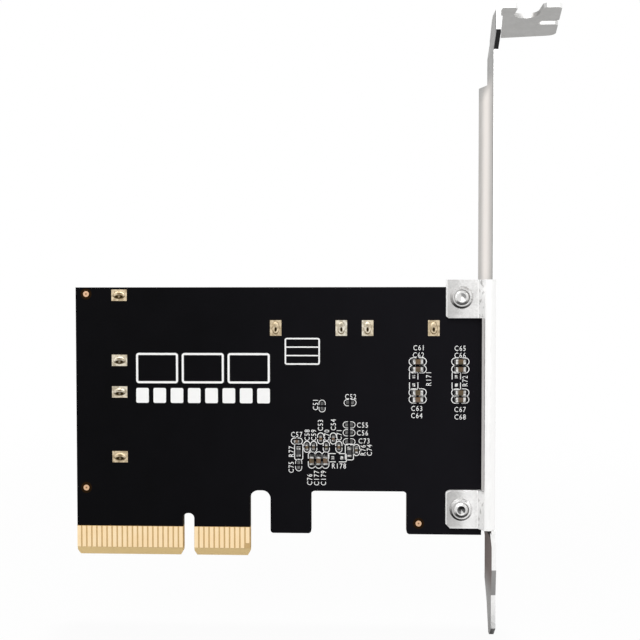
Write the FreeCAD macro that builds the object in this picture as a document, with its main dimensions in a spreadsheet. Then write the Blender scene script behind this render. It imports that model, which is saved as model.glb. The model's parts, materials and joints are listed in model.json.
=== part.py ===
import FreeCAD, Part
import math
import os
import Sketcher

# Expansion card with four right-angle storage ports and a full-height slot bracket.
# Frame: origin at the centre of the key slot, on the tip of the edge connector and in the
# middle of the board's thickness. +X runs towards the bracket, +Z up the card, and the
# solder side faces -Y. All sizes are in millimetres.

SIZES = [
    ("board_left", 21.85, "key centre to the left end of the board"),
    ("board_right", 56.46, "key centre to the right end of the board"),
    ("board_top", 52.08, "connector tip to the top edge"),
    ("board_half", 0.8, "half of the board's thickness"),
    ("key_half", 1.1, "half width of the key slot"),
    ("key_top", 8.25, "top of the key slot"),
    ("key_radius", 1.0, "round end of the key slot"),
    ("short_end", 12.0, "right end of the short finger section"),
    ("relief_right", 15.96, "right side of the relief slot"),
    ("relief_top", 12.8, "top of the relief slot"),
    ("relief_radius", 1.6, "corners of the relief slot"),
    ("foot_height", 4.55, "lower edge of the two feet"),
    ("foot_radius", 0.6, "rounded lower corners of the feet"),
    ("notch_left", 23.85, "left side of the wide notch"),
    ("notch_right", 42.2, "right side of the wide notch"),
    ("notch_top", 12.8, "top of the wide notch"),
    ("notch_radius", 0.7, "corners of the wide notch"),
    ("bevel_rise", 1.5, "height of the connector's bevel"),
    ("bevel_flat", 0.3, "half thickness left at the connector's tip"),
    ("tip_cut_wide", 0.5, "cut corners of the connector's tip, width"),
    ("tip_cut_high", 0.9, "cut corners of the connector's tip, height"),
    ("finger_pitch", 1.0, "contact fingers, pitch"),
    ("finger_width", 0.7, "contact fingers, width"),
    ("finger_low", 1.52, "contact fingers, lower end"),
    ("detect_low", 2.5, "lower end of the shorter detect finger on each face"),
    ("finger_high", 5.6, "contact fingers, upper end"),
    ("finger_first", 1.5, "key centre to the nearest finger"),
    ("short_count", 11, "fingers right of the key"),
    ("long_count", 21, "fingers left of the key"),
    ("plating", 0.05, "thickness of plated copper"),
    ("peg_span", 12.62, "distance between a port's two board locks"),
    ("peg_slot_long", 1.03, "board lock slot, half length"),
    ("peg_slot_wide", 0.58, "board lock slot, half width"),
    ("peg_slot_cut", 0.34, "board lock slot, cut corners"),
    ("peg_pad_long", 3.0, "board lock pad, along the mating direction"),
    ("peg_pad_short", 2.2, "board lock pad, across"),
    ("side_port_x", -13.33, "board locks of the ports on the left edge"),
    ("side_port_high", 44.25, "centre of the upper left port"),
    ("side_port_low", 25.49, "centre of the lower left port"),
    ("top_port_z", 44.24, "board locks of the ports on the top edge"),
    ("top_port_near", 23.35, "centre of the first top port"),
    ("top_port_far", 41.0, "centre of the second top port"),
    ("fiducial_radius", 0.56, "plated alignment marks"),
    ("sheet_steel", 0.86, "bracket sheet thickness"),
    ("plate_inner", 58.0, "bracket plate, face towards the board"),
    ("bracket_near", -3.34, "bracket edge on the solder side"),
    ("bracket_width", 18.42, "bracket, over its width"),
    ("bracket_length", 120.02, "bracket, over its length"),
    ("seat_height", 103.8, "underside of the screw tab"),
    ("neck_jog", 0.45, "outward step of the neck"),
    ("neck_jog_low", 96.3, "lower end of the neck's step"),
    ("neck_jog_high", 99.4, "upper end of the neck's step"),
    ("neck_width", 7.5, "width of the neck"),
    ("neck_top", 4.4, "width of the neck under the tab"),
    ("neck_slope", 99.9, "start of the slope at the neck's far side"),
    ("shoulder_near", 91.4, "shoulder at the neck"),
    ("shoulder_far", 93.4, "shoulder at the far edge"),
    ("jog_radius", 1.5, "soft bends of the steps"),
    ("bend_outer", 1.3, "outer radius of the folds"),
    ("bend_inner", 0.44, "inner radius of the folds"),
    ("tab_end", 70.6, "outer end of the screw tab at its near edge"),
    ("tab_slope", 0.16, "run of the tab's end, outwards for each step across"),
    ("tab_far_start", 63.0, "start of the slope of the tab's far edge"),
    ("tab_far_drop", 1.4, "slope of the tab's far edge, over its length"),
    ("tab_cut_near", 60.45, "cut-back of the tab beside the neck"),
    ("tab_cut_far", 62.6, "cut-back of the tab at the far edge"),
    ("tab_corner_far", 1.6, "far outer corner of the tab"),
    ("tab_corner_near", 0.6, "cut corners at the tab's end"),
    ("screw_notch_x", 64.85, "centre of the screw notch"),
    ("screw_notch_half", 2.35, "half width of the screw notch"),
    ("screw_notch_depth", 6.1, "depth of the screw notch"),
    ("screw_notch_radius", 2.2, "corners of the screw notch"),
    ("screw_notch_lip", 0.6, "cut corners of the notch's mouth"),
    ("end_slot_left", 68.2, "closed end of the tab's end slot"),
    ("end_slot_near", 7.9, "near side of the end slot, from the bracket's edge"),
    ("end_slot_width", 2.1, "width of the end slot"),
    ("end_slot_corner", 0.5, "cut corners of the end slot"),
    ("tongue_jog", 0.3, "outward step of the tongue"),
    ("tongue_jog_high", 5.0, "upper end of the tongue's step"),
    ("tongue_jog_low", 2.4, "lower end of the tongue's step"),
    ("tongue_lean", 0.05, "lead-in lean of the tongue's tip"),
    ("wide_end", 5.3, "lower end of the plate's full width"),
    ("tongue_near", -2.0, "near side of the tongue"),
    ("tongue_far", 6.6, "far side of the tongue"),
    ("tip_near", -1.3, "near side of the tongue's tip"),
    ("tip_far", 3.9, "far side of the tongue below its taper"),
    ("near_taper_high", -1.9, "upper end of the taper on the tongue's near side"),
    ("near_taper_low", -6.9, "lower end of the taper on the tongue's near side"),
    ("taper_high", -6.0, "upper end of the taper on the tongue's far side"),
    ("taper_low", -9.7, "lower end of the taper on the tongue's far side"),
    ("tip_slant", 2.0, "height of the slanted tip"),
    ("tip_end", 2.0, "far end of the level part of the tip"),
    ("tip_flat", 1.0, "level part of the tip"),
    ("flange_left", 56.67, "free edge of the flange"),
    ("flange_low", 6.0, "lower end of the flange"),
    ("flange_high", 53.46, "upper end of the flange"),
    ("lug_left", 49.6, "free end of the mounting tabs"),
    ("lug_height", 7.3, "height of each mounting tab"),
    ("lug_fold", 55.65, "foot of the mounting tabs' fold"),
    ("fold_shift", 1.006, "fold's thickness measured along X"),
    ("lug_corner", 0.85, "rounded corner of the lower mounting tab"),
    ("lug_chamfer", 0.8, "cut corner of the lower mounting tab"),
    ("lug_nick", 0.4, "cut corner of the upper mounting tab"),
    ("lug_edge", 0.3, "broken outer edges of the mounting tabs"),
    ("screw_x", 52.47, "bracket screws, across"),
    ("screw_high", 50.1, "upper bracket screw"),
    ("screw_low", 9.65, "lower bracket screw"),
    ("screw_hole_radius", 1.6, "clearance holes in the board"),
    ("collar_radius", 2.15, "tapped collars of the mounting tabs"),
    ("collar_rise", 0.55, "height of the tapped collars"),
    ("collar_edge", 0.42, "broken rim of the tapped collars"),
    ("shank_radius", 1.48, "screw shank"),
    ("shank_bore", 1.5, "thread bore of the collars"),
    ("shank_end", 2.36, "screw end, from the board's middle"),
    ("shank_point", 1.0, "flat of the screw's end, radius"),
    ("shank_taper", 0.36, "height of the taper at the screw's end"),
    ("dimple_radius", 0.8, "dimple in the screw's end"),
    ("dimple_shallow", 0.16, "depth of the dimple in the upper screw"),
    ("dimple_deep", 0.6, "depth of the dimple in the lower screw"),
    ("head_radius", 2.75, "screw head"),
    ("head_height", 1.9, "screw head, height"),
    ("head_side", 1.5, "straight side of the screw head"),
    ("head_flat", 2.35, "flat top of the screw head, radius"),
    ("recess_half", 1.35, "cross recess, half length"),
    ("recess_blade", 0.32, "cross recess, half width"),
    ("recess_depth", 1.0, "cross recess, depth"),
    ("port_width", 15.6, "port housing, width"),
    ("port_height", 6.6, "port housing, height"),
    ("port_front", 7.7, "board locks to the mouth"),
    ("port_back", 3.2, "board locks to the rear face"),
    ("port_floor", 0.95, "wall between the cavity and the board"),
    ("port_side", 0.9, "side walls of the port"),
    ("cavity_height", 4.7, "cavity, height"),
    ("cavity_depth", 6.7, "cavity, depth"),
    ("mouth_chamfer", 0.4, "lead-in round the mouth"),
    ("housing_edge", 0.4, "broken outer edges of the housing"),
    ("blade_left", 4.75, "tongue blade, left of centre"),
    ("blade_right", 5.65, "tongue blade, right of centre"),
    ("blade_low", 3.0, "tongue blade, lower face"),
    ("blade_thick", 1.25, "tongue blade, thickness"),
    ("blade_key", 1.35, "drop of the blade's key leg"),
    ("blade_inset", 1.3, "blade tip behind the mouth"),
    ("window_half", 1.7, "latch window, half length"),
    ("window_near", 1.4, "latch window, from the mouth"),
    ("window_depth", 1.7, "latch window, along the port"),
    ("contact_pitch", 1.27, "port contacts, pitch"),
    ("contact_count", 7, "contacts in each port"),
    ("contact_width", 0.6, "port contacts, width"),
    ("contact_thick", 0.28, "port contacts, thickness"),
    ("contact_sunk", 0.14, "contact let into the blade"),
    ("contact_play", 0.02, "room round contacts and board locks"),
    ("contact_tip", 0.7, "contact end behind the blade's tip"),
    ("contact_leg", 0.5, "rear face to the contacts' legs"),
    ("contact_foot", 1.0, "length of the contacts' feet"),
    ("contact_bend", 0.2, "bend of the contacts"),
    ("lock_thick", 0.36, "board locks, sheet thickness"),
    ("lock_half", 0.8, "board locks, half width"),
    ("lock_rise", 1.9, "board locks, height in the housing"),
    ("lock_reach", 1.3, "board locks, reach into the board"),
    ("lock_slit", 0.24, "half width of the fork's slit"),
    ("lock_taper", 0.28, "pointed ends of the prongs"),
    ("chip_size", 9.0, "controller package, side"),
    ("chip_rise", 0.86, "controller package, top above the board"),
    ("chip_x", 27.0, "controller package, across"),
    ("chip_z", 20.2, "controller package, up"),
    ("chip_lift", 0.04, "gap below the controller's body"),
    ("chip_edge", 0.12, "chamfer of the moulded package"),
    ("terminal_pitch", 0.5, "controller terminals, pitch"),
    ("terminal_count", 16, "controller terminals on each side"),
    ("terminal_width", 0.24, "controller terminals, width"),
    ("terminal_length", 0.42, "controller terminals, length"),
    ("terminal_out", 0.03, "terminals beyond the body"),
    ("heat_pad", 5.6, "controller's exposed pad, side"),
]

doc = FreeCAD.newDocument("sata_controller_card")
sheet = doc.addObject("Spreadsheet::Sheet", "sizes")
for row, (alias, amount, meaning) in enumerate(SIZES, 1):
    sheet.set(f"A{row}", meaning)
    sheet.set(f"B{row}", str(amount))
    sheet.setAlias(f"B{row}", alias)
doc.recompute()


class Term:
    """A length as sheet expression text, together with its present value."""

    def __init__(self, text, value):
        self.text = text
        self.value = value

    def __add__(self, other):
        other = as_term(other)
        return Term(f"({self.text} + {other.text})", self.value + other.value)

    def __sub__(self, other):
        other = as_term(other)
        return Term(f"({self.text} - {other.text})", self.value - other.value)

    def __mul__(self, factor):
        factor = as_term(factor)
        return Term(f"({self.text} * {factor.text})", self.value * factor.value)

    def __neg__(self):
        return self * -1


def as_term(amount):
    """Take a Term as it is, and a plain number as a constant."""
    if isinstance(amount, Term):
        return amount
    return Term(f"({amount:.6f})", float(amount))


class Sizes:
    """The sheet's aliases as Terms."""

    def __init__(self):
        for alias, amount, _ in SIZES:
            setattr(self, alias, Term(f"sizes.{alias}", float(amount)))


size = Sizes()
nodes = []


def bind(feature, prop, amount):
    feature.setExpression(prop, as_term(amount).text)


def new_body(label):
    """A body that is a sub-part of its own; repeats leave it with several solids."""
    body = doc.addObject("PartDesign::Body", label)
    body.Label = label
    body.AllowCompound = True
    nodes.append(body)
    return body


def origin_item(body, role):
    return [item for item in body.Origin.OriginFeatures if item.Role == role][0]


def new_sketch(body, role, offset=0):
    """A sketch on an origin plane, moved along the plane's normal (-Y for the XZ plane)."""
    sketch = body.newObject("Sketcher::SketchObject", f"{body.Label}_sketch")
    sketch.AttachmentSupport = [(origin_item(body, role), "")]
    sketch.MapMode = "FlatFace"
    bind(sketch, "AttachmentOffset.Base.z", offset)
    return sketch


def add_rules(sketch, rules):
    """Add constraints in one go and bind the sizes among them to the sheet."""
    numbers = sketch.addConstraint([rule for rule, _ in rules])
    for number, (_, amount) in zip(numbers, rules):
        if amount is not None:
            bind(sketch, f"Constraints[{number}]", amount)


def at_point(item, end, u, v):
    """Rules that hold a point at (u, v) from the sketch's origin."""
    rules = []
    for kind, axis, amount in (("DistanceX", -2, as_term(u)), ("DistanceY", -1, as_term(v))):
        if abs(amount.value) < 1e-9:
            rules.append((Sketcher.Constraint("PointOnObject", item, end, axis), None))
        else:
            rules.append((Sketcher.Constraint(kind, -1, 1, item, end, amount.value), amount))
    return rules


def point(u, v):
    return FreeCAD.Vector(as_term(u).value, as_term(v).value, 0)


def polygon(sketch, corners):
    """A closed outline through the corners."""
    first = sketch.GeometryCount
    total = len(corners)
    places = [point(u, v) for u, v in corners]
    sides = [Part.LineSegment(places[i], places[(i + 1) % total]) for i in range(total)]
    sketch.addGeometry(sides, False)
    rules = []
    for i, (u, v) in enumerate(corners):
        joined = first + (i + 1) % total
        rules.append((Sketcher.Constraint("Coincident", first + i, 2, joined, 1), None))
        rules += at_point(first + i, 1, u, v)
    add_rules(sketch, rules)


def rectangle(sketch, left, low, right, high):
    polygon(sketch, [(left, low), (right, low), (right, high), (left, high)])


def centred(sketch, u, v, long_u, long_v):
    """A rectangle about a centre."""
    u, v = as_term(u), as_term(v)
    half_u, half_v = as_term(long_u) * 0.5, as_term(long_v) * 0.5
    rectangle(sketch, u - half_u, v - half_v, u + half_u, v + half_v)


def circle(sketch, u, v, radius):
    ring = Part.Circle(point(u, v), FreeCAD.Vector(0, 0, 1), radius.value)
    item = sketch.addGeometry(ring, False)
    rules = at_point(item, 3, u, v)
    rules.append((Sketcher.Constraint("Radius", item, radius.value), radius))
    add_rules(sketch, rules)


def cut_slot(sketch, u, v, upright):
    """A board lock's slot: a short slot with cut corners, long along the mating direction."""
    long, wide, cut = size.peg_slot_long, size.peg_slot_wide, size.peg_slot_cut
    shape = [
        (-long, cut - wide), (cut - long, -wide), (long - cut, -wide), (long, cut - wide),
        (long, wide - cut), (long - cut, wide), (cut - long, wide), (-long, wide - cut),
    ]
    if upright:
        shape = [(across, -along) for along, across in shape]
    polygon(sketch, [(u + du, v + dv) for du, dv in shape])


def pad(body, sketch, length, backwards=False):
    feature = body.newObject("PartDesign::Pad", f"{body.Label}_pad")
    feature.Profile = sketch
    bind(feature, "Length", length)
    feature.Reversed = backwards
    doc.recompute()
    return feature


def pocket(body, sketch, length, backwards=False):
    """Cut along the sketch's normal reversed, or along it when backwards."""
    before = body.Shape.Volume
    feature = body.newObject("PartDesign::Pocket", f"{body.Label}_pocket")
    feature.Profile = sketch
    bind(feature, "Length", length)
    feature.Reversed = backwards
    doc.recompute()
    if not body.Shape.Volume < before - 1e-6:
        raise RuntimeError(f"{feature.Label} cuts nothing")
    return feature


def repeat(body, feature, role, pitch, count, backwards=False):
    pattern = body.newObject("PartDesign::LinearPattern", f"{body.Label}_pattern")
    pattern.Originals = [feature]
    pattern.Direction = (origin_item(body, role), [""])
    pattern.Mode = "Spacing"
    bind(pattern, "Offset", pitch)
    bind(pattern, "Occurrences", count)
    pattern.Reversed = backwards
    body.Tip = pattern
    doc.recompute()


def edges_along(body, axis, spots):
    """Names of the straight edges along an axis (0, 1, 2) through the given spots."""
    across = [k for k in range(3) if k != axis]
    wanted = [[as_term(amount).value for amount in spot] for spot in spots]
    names = []
    for number, edge in enumerate(body.Shape.Edges, 1):
        ends = [vertex.Point for vertex in edge.Vertexes]
        if len(ends) != 2:
            continue
        if any(abs(ends[0][k] - ends[1][k]) > 1e-4 for k in across):
            continue
        for spot in wanted:
            if all(abs(ends[0][k] - amount) < 1e-3 for k, amount in zip(across, spot)):
                names.append(f"Edge{number}")
    if not names:
        raise RuntimeError(f"{body.Label} has no such edges")
    return names


def soften(body, kind, prop, names, amount):
    base = body.Tip
    feature = body.newObject(f"PartDesign::{kind}", f"{body.Label}_{kind.lower()}")
    feature.Base = (base, names)
    bind(feature, prop, amount)
    doc.recompute()
    if "Invalid" in feature.State:
        raise RuntimeError(f"{feature.Label} failed on {names}")


def fillet(body, axis, spots, radius):
    soften(body, "Fillet", "Radius", edges_along(body, axis, spots), radius)


def chamfer(body, axis, spots, amount):
    soften(body, "Chamfer", "Size", edges_along(body, axis, spots), amount)


# Ports: centre of the two board locks, and whether the port faces the left edge.
ports = [
    (size.side_port_x, size.side_port_high, True),
    (size.side_port_x, size.side_port_low, True),
    (size.top_port_near, size.top_port_z, False),
    (size.top_port_far, size.top_port_z, False),
]
pegs = []
for port_x, port_z, sideways in ports:
    for sign in (-0.5, 0.5):
        shift = size.peg_span * sign
        if sideways:
            pegs.append((port_x, port_z + shift, sideways))
        else:
            pegs.append((port_x + shift, port_z, sideways))
screws = [(size.screw_x, size.screw_high), (size.screw_x, size.screw_low)]

# The board: one outline, the connector's bevel, then its slots and holes.
board = new_body("circuit_board")
outline = new_sketch(board, "XZ_Plane", -size.board_half)
polygon(outline, [
    (-size.board_left, size.tip_cut_high),
    (size.tip_cut_wide - size.board_left, 0),
    (-size.key_half - size.tip_cut_wide, 0),
    (-size.key_half, size.tip_cut_high),
    (-size.key_half, size.key_top),
    (size.key_half, size.key_top),
    (size.key_half, size.tip_cut_high),
    (size.key_half + size.tip_cut_wide, 0),
    (size.short_end - size.tip_cut_wide, 0),
    (size.short_end, size.tip_cut_high),
    (size.short_end, size.relief_top),
    (size.relief_right, size.relief_top),
    (size.relief_right, size.foot_height),
    (size.notch_left, size.foot_height),
    (size.notch_left, size.notch_top),
    (size.notch_right, size.notch_top),
    (size.notch_right, size.foot_height),
    (size.board_right, size.foot_height),
    (size.board_right, size.board_top),
    (-size.board_left, size.board_top),
])
pad(board, outline, size.board_half * 2)
bevel = new_sketch(board, "YZ_Plane", -size.board_left - 1)
for sign in (-1, 1):
    polygon(bevel, [
        (size.board_half * sign, 0),
        (size.board_half * sign, size.bevel_rise),
        (size.bevel_flat * sign, 0),
    ])
pocket(board, bevel, size.board_left + size.short_end + 2, True)
holes = new_sketch(board, "XZ_Plane", -size.board_half)
for peg_x, peg_z, sideways in pegs:
    cut_slot(holes, peg_x, peg_z, not sideways)
for screw_x, screw_z in screws:
    circle(holes, screw_x, screw_z, size.screw_hole_radius)
pocket(board, holes, size.board_half * 2, True)
key_corners = [(-size.key_half, size.key_top), (size.key_half, size.key_top)]
fillet(board, 1, key_corners, size.key_radius)
relief_corners = [(size.short_end, size.relief_top), (size.relief_right, size.relief_top)]
fillet(board, 1, relief_corners, size.relief_radius)
notch_corners = [(size.notch_left, size.notch_top), (size.notch_right, size.notch_top)]
fillet(board, 1, notch_corners, size.notch_radius)
foot_sides = [size.relief_right, size.notch_left, size.notch_right]
fillet(board, 1, [(side, size.foot_height) for side in foot_sides], size.foot_radius)

# Plated copper: fingers on both faces, board lock pads and the alignment marks. One finger on
# each face is shorter, so that the slot detects the card last: the outermost one on the solder
# side, and the last but one on the component side.
detect_short = size.finger_first + size.finger_pitch * (size.short_count - 1)
detect_long = -size.finger_first - size.finger_pitch * (size.long_count - 2)
for face, label, detect in ((1, "solder_side", detect_short), (-1, "component_side", detect_long)):
    fingers = new_body(f"edge_fingers_{label}")
    for sign, count in ((-1, size.long_count), (1, size.short_count)):
        finger = new_sketch(fingers, "XZ_Plane", size.board_half * face)
        near = size.finger_first * sign - size.finger_width * 0.5
        rectangle(finger, near, size.finger_low, near + size.finger_width, size.finger_high)
        film = pad(fingers, finger, size.plating, face < 0)
        repeat(fingers, film, "X_Axis", size.finger_pitch, count, sign < 0)
    end_cut = new_sketch(fingers, "XZ_Plane", size.board_half * face)
    reach = size.finger_pitch * 0.5
    rectangle(end_cut, detect - reach, size.finger_low - reach, detect + reach, size.detect_low)
    pocket(fingers, end_cut, size.plating, face > 0)
lands = new_body("board_lock_pads_solder_side")
land = new_sketch(lands, "XZ_Plane", size.board_half)
for peg_x, peg_z, sideways in pegs:
    if sideways:
        centred(land, peg_x, peg_z, size.peg_pad_long, size.peg_pad_short)
    else:
        centred(land, peg_x, peg_z, size.peg_pad_short, size.peg_pad_long)
    cut_slot(land, peg_x, peg_z, not sideways)
pad(lands, land, size.plating)
marks = new_body("fiducial_marks")
mark = new_sketch(marks, "XZ_Plane", size.board_half)
for mark_x, mark_z in ((-19.8, 50.8), (-20.0, 13.1), (44.5, 6.65)):
    circle(mark, as_term(mark_x), as_term(mark_z), size.fiducial_radius)
pad(marks, mark, size.plating)

# The bracket: the sheet's section drawn along its width, trimmed to its side outline and to
# the tab's plan, then the folded flange with its two mounting tabs.
bracket = new_body("slot_bracket")
far_edge = size.bracket_near + size.bracket_width
plate_outer = size.plate_inner + size.sheet_steel
neck_inner = size.plate_inner + size.neck_jog
neck_outer = neck_inner + size.sheet_steel
tab_far_end = size.tab_end + size.bracket_width * size.tab_slope
tab_top = size.seat_height + size.sheet_steel
tip_low = tab_top - size.bracket_length
tongue_inner = size.plate_inner + size.tongue_jog
tongue_outer = tongue_inner + size.sheet_steel
section = new_sketch(bracket, "XZ_Plane", -far_edge)
polygon(section, [
    (tongue_inner + size.tongue_lean, tip_low),
    (tongue_outer + size.tongue_lean, tip_low),
    (tongue_outer, size.taper_low),
    (tongue_outer, size.tongue_jog_low),
    (plate_outer, size.tongue_jog_high),
    (plate_outer, size.neck_jog_low),
    (neck_outer, size.neck_jog_high),
    (neck_outer, size.seat_height),
    (tab_far_end, size.seat_height),
    (tab_far_end, tab_top),
    (neck_inner, tab_top),
    (neck_inner, size.neck_jog_high),
    (size.plate_inner, size.neck_jog_low),
    (size.plate_inner, size.tongue_jog_high),
    (tongue_inner, size.tongue_jog_low),
    (tongue_inner, size.taper_low),
])
pad(bracket, section, size.bracket_width)
fillet(bracket, 1, [(neck_inner, tab_top)], size.bend_outer)
fillet(bracket, 1, [(neck_outer, size.seat_height)], size.bend_inner)
fillet(bracket, 1, [
    (size.plate_inner, size.neck_jog_low),
    (plate_outer, size.neck_jog_low),
    (neck_inner, size.neck_jog_high),
    (neck_outer, size.neck_jog_high),
    (size.plate_inner, size.tongue_jog_high),
    (plate_outer, size.tongue_jog_high),
    (tongue_inner, size.tongue_jog_low),
    (tongue_outer, size.tongue_jog_low),
], size.jog_radius)
neck_far = size.bracket_near + size.neck_width
neck_top = size.bracket_near + size.neck_top
trims = new_sketch(bracket, "YZ_Plane", size.plate_inner - 2)
polygon(trims, [
    (neck_far, size.shoulder_near),
    (far_edge, size.shoulder_far),
    (far_edge + 1, size.shoulder_far),
    (far_edge + 1, size.seat_height),
    (neck_top, size.seat_height),
    (neck_far, size.neck_slope),
])
polygon(trims, [
    (size.bracket_near - 1, size.wide_end),
    (size.tongue_near, size.wide_end),
    (size.tongue_near, size.near_taper_high),
    (size.tip_near, size.near_taper_low),
    (size.tip_near, tip_low + size.tip_slant),
    (size.tip_end - size.tip_flat, tip_low),
    (size.tip_end - size.tip_flat, tip_low - 1),
    (size.bracket_near - 1, tip_low - 1),
])
polygon(trims, [
    (far_edge + 1, size.wide_end),
    (size.tongue_far, size.wide_end),
    (size.tongue_far, size.taper_high),
    (size.tip_far, size.taper_low),
    (size.tip_end, tip_low),
    (size.tip_end, tip_low - 1),
    (far_edge + 1, tip_low - 1),
])
pocket(bracket, trims, size.sheet_steel * 2 + size.neck_jog + 3, True)
plan = new_sketch(bracket, "XY_Plane", tab_top + 1)
polygon(plan, [
    (size.plate_inner - 1, neck_top),
    (size.tab_cut_near, neck_top),
    (size.tab_cut_far, far_edge + 1),
    (size.plate_inner - 1, far_edge + 1),
])
notch_left = size.screw_notch_x - size.screw_notch_half
notch_right = size.screw_notch_x + size.screw_notch_half
notch_end = size.bracket_near + size.screw_notch_depth
rectangle(plan, notch_left, size.bracket_near - 1, notch_right, notch_end)
slot_near = size.bracket_near + size.end_slot_near
slot_far = slot_near + size.end_slot_width
rectangle(plan, size.end_slot_left, slot_near, tab_far_end + 1, slot_far)
pocket(bracket, plan, size.sheet_steel + 1.6)


def end_spot(across):
    """Place on the tab's slanted end, at a distance from the bracket's near edge."""
    across = as_term(across)
    return size.tab_end + across * size.tab_slope, size.bracket_near + across


tab_corner = end_spot(size.bracket_width - size.tab_far_drop)
slanted = new_sketch(bracket, "XY_Plane", tab_top + 1)
polygon(slanted, [
    (size.tab_end, size.bracket_near - 1),
    end_spot(0),
    tab_corner,
    (size.tab_far_start, far_edge),
    (size.tab_far_start, far_edge + 1),
    (tab_far_end + 1, far_edge + 1),
    (tab_far_end + 1, size.bracket_near - 1),
])
pocket(bracket, slanted, size.sheet_steel + 1.6)
fillet(bracket, 2, [(notch_left, notch_end), (notch_right, notch_end)], size.screw_notch_radius)
mouth = [(notch_left, size.bracket_near), (notch_right, size.bracket_near)]
chamfer(bracket, 2, mouth, size.screw_notch_lip)
slot_ends = [(size.end_slot_left, slot_near), (size.end_slot_left, slot_far)]
chamfer(bracket, 2, slot_ends, size.end_slot_corner)
tab_tips = [end_spot(across) for across in (0, size.end_slot_near, size.end_slot_near + size.end_slot_width)]
chamfer(bracket, 2, tab_tips, size.tab_corner_near)
fillet(bracket, 2, [tab_corner], size.tab_corner_far)
flange = new_sketch(bracket, "XY_Plane", size.flange_low)
flange_back = size.bracket_near + size.sheet_steel
rectangle(flange, size.flange_left, size.bracket_near, plate_outer, flange_back)
flange_height = size.flange_high - size.flange_low
pad(bracket, flange, flange_height)
fillet(bracket, 2, [(size.plate_inner, flange_back)], size.bend_inner)
corner = new_sketch(bracket, "XY_Plane", size.flange_low)
arc_left = (plate_outer - size.bend_outer, size.bracket_near)
arc_right = (plate_outer, size.bracket_near + size.bend_outer)
hub = point(arc_left[0], arc_right[1])
rim = Part.Circle(hub, FreeCAD.Vector(0, 0, 1), size.bend_outer.value)
corner.addGeometry(Part.ArcOfCircle(rim, -math.pi / 2, 0), False)
corner.addGeometry(Part.LineSegment(point(*arc_right), point(plate_outer, size.bracket_near)), False)
corner.addGeometry(Part.LineSegment(point(plate_outer, size.bracket_near), point(*arc_left)), False)
corner_rules = at_point(0, 1, *arc_left) + at_point(0, 2, *arc_right)
corner_rules += at_point(2, 1, plate_outer, size.bracket_near)
corner_rules.append((Sketcher.Constraint("Radius", 0, size.bend_outer.value), size.bend_outer))
for before, after in ((0, 1), (1, 2), (2, 0)):
    corner_rules.append((Sketcher.Constraint("Coincident", before, 2, after, 1), None))
add_rules(corner, corner_rules)
pocket(bracket, corner, flange_height, True)
lug_face = -size.board_half - size.sheet_steel
lug_lows = (size.flange_high - size.lug_height, size.flange_low)
fold_run = size.flange_left - size.lug_fold
fold_back = size.lug_fold + size.fold_shift - fold_run * 0.512
fold_front = size.flange_left + size.fold_shift - fold_run * 0.512
for lug_low in lug_lows:
    lug = new_sketch(bracket, "XY_Plane", lug_low)
    polygon(lug, [
        (size.flange_left, size.bracket_near),
        (fold_front, flange_back),
        (fold_back, -size.board_half),
        (size.lug_left, -size.board_half),
        (size.lug_left, lug_face),
        (size.lug_fold, lug_face),
    ])
    pad(bracket, lug, size.lug_height)
lug_high = size.flange_low + size.lug_height
fillet(bracket, 1, [(size.lug_left, lug_high)], size.lug_corner)
chamfer(bracket, 1, [(size.lug_left, lug_lows[0])], size.lug_nick)
chamfer(bracket, 1, [(size.lug_left, size.flange_low)], size.lug_chamfer)
chamfer(bracket, 2, [(size.lug_left, lug_face)], size.lug_edge)
collars = new_sketch(bracket, "XZ_Plane", -lug_face)
for screw_x, screw_z in screws:
    circle(collars, screw_x, screw_z, size.collar_radius)
pad(bracket, collars, size.collar_rise)
rims = []
for number, edge in enumerate(bracket.Shape.Edges, 1):
    box = edge.BoundBox
    if abs(box.YMax - lug_face.value + size.collar_rise.value) < 1e-3 and box.YLength < 1e-3:
        rims.append(f"Edge{number}")
soften(bracket, "Chamfer", "Size", rims, size.collar_edge)
bores = new_sketch(bracket, "XZ_Plane", size.board_half)
for screw_x, screw_z in screws:
    circle(bores, screw_x, screw_z, size.shank_bore)
pocket(bracket, bores, size.sheet_steel + size.collar_rise, True)

# Bracket screws: pan heads on the component side, their ends in the collars.
screw_rows = [
    ("upper_bracket_screw", size.screw_high, size.dimple_shallow),
    ("lower_bracket_screw", size.screw_low, size.dimple_deep),
]
for label, screw_z, dimple_depth in screw_rows:
    screw = new_body(label)
    turned = new_sketch(screw, "XY_Plane")
    head_top = size.board_half + size.head_height
    polygon(turned, [
        (0, dimple_depth - size.shank_end),
        (size.dimple_radius, -size.shank_end),
        (size.shank_point, -size.shank_end),
        (size.shank_radius, size.shank_taper - size.shank_end),
        (size.shank_radius, size.board_half),
        (size.head_radius, size.board_half),
        (size.head_radius, size.board_half + size.head_side),
        (size.head_flat, head_top),
        (0, head_top),
    ])
    lathe = screw.newObject("PartDesign::Revolution", f"{label}_turned")
    lathe.Profile = turned
    lathe.ReferenceAxis = (origin_item(screw, "Y_Axis"), [""])
    lathe.Angle = 360
    doc.recompute()
    recess = new_sketch(screw, "XZ_Plane", -head_top)
    tip, blade = size.recess_half, size.recess_blade
    polygon(recess, [
        (-tip, -blade), (-blade, -blade), (-blade, -tip), (blade, -tip),
        (blade, -blade), (tip, -blade), (tip, blade), (blade, blade),
        (blade, tip), (-blade, tip), (-blade, blade), (-tip, blade),
    ])
    pocket(screw, recess, size.recess_depth, True)
    bind(screw, "Placement.Base.x", size.screw_x)
    bind(screw, "Placement.Base.z", screw_z)

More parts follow.
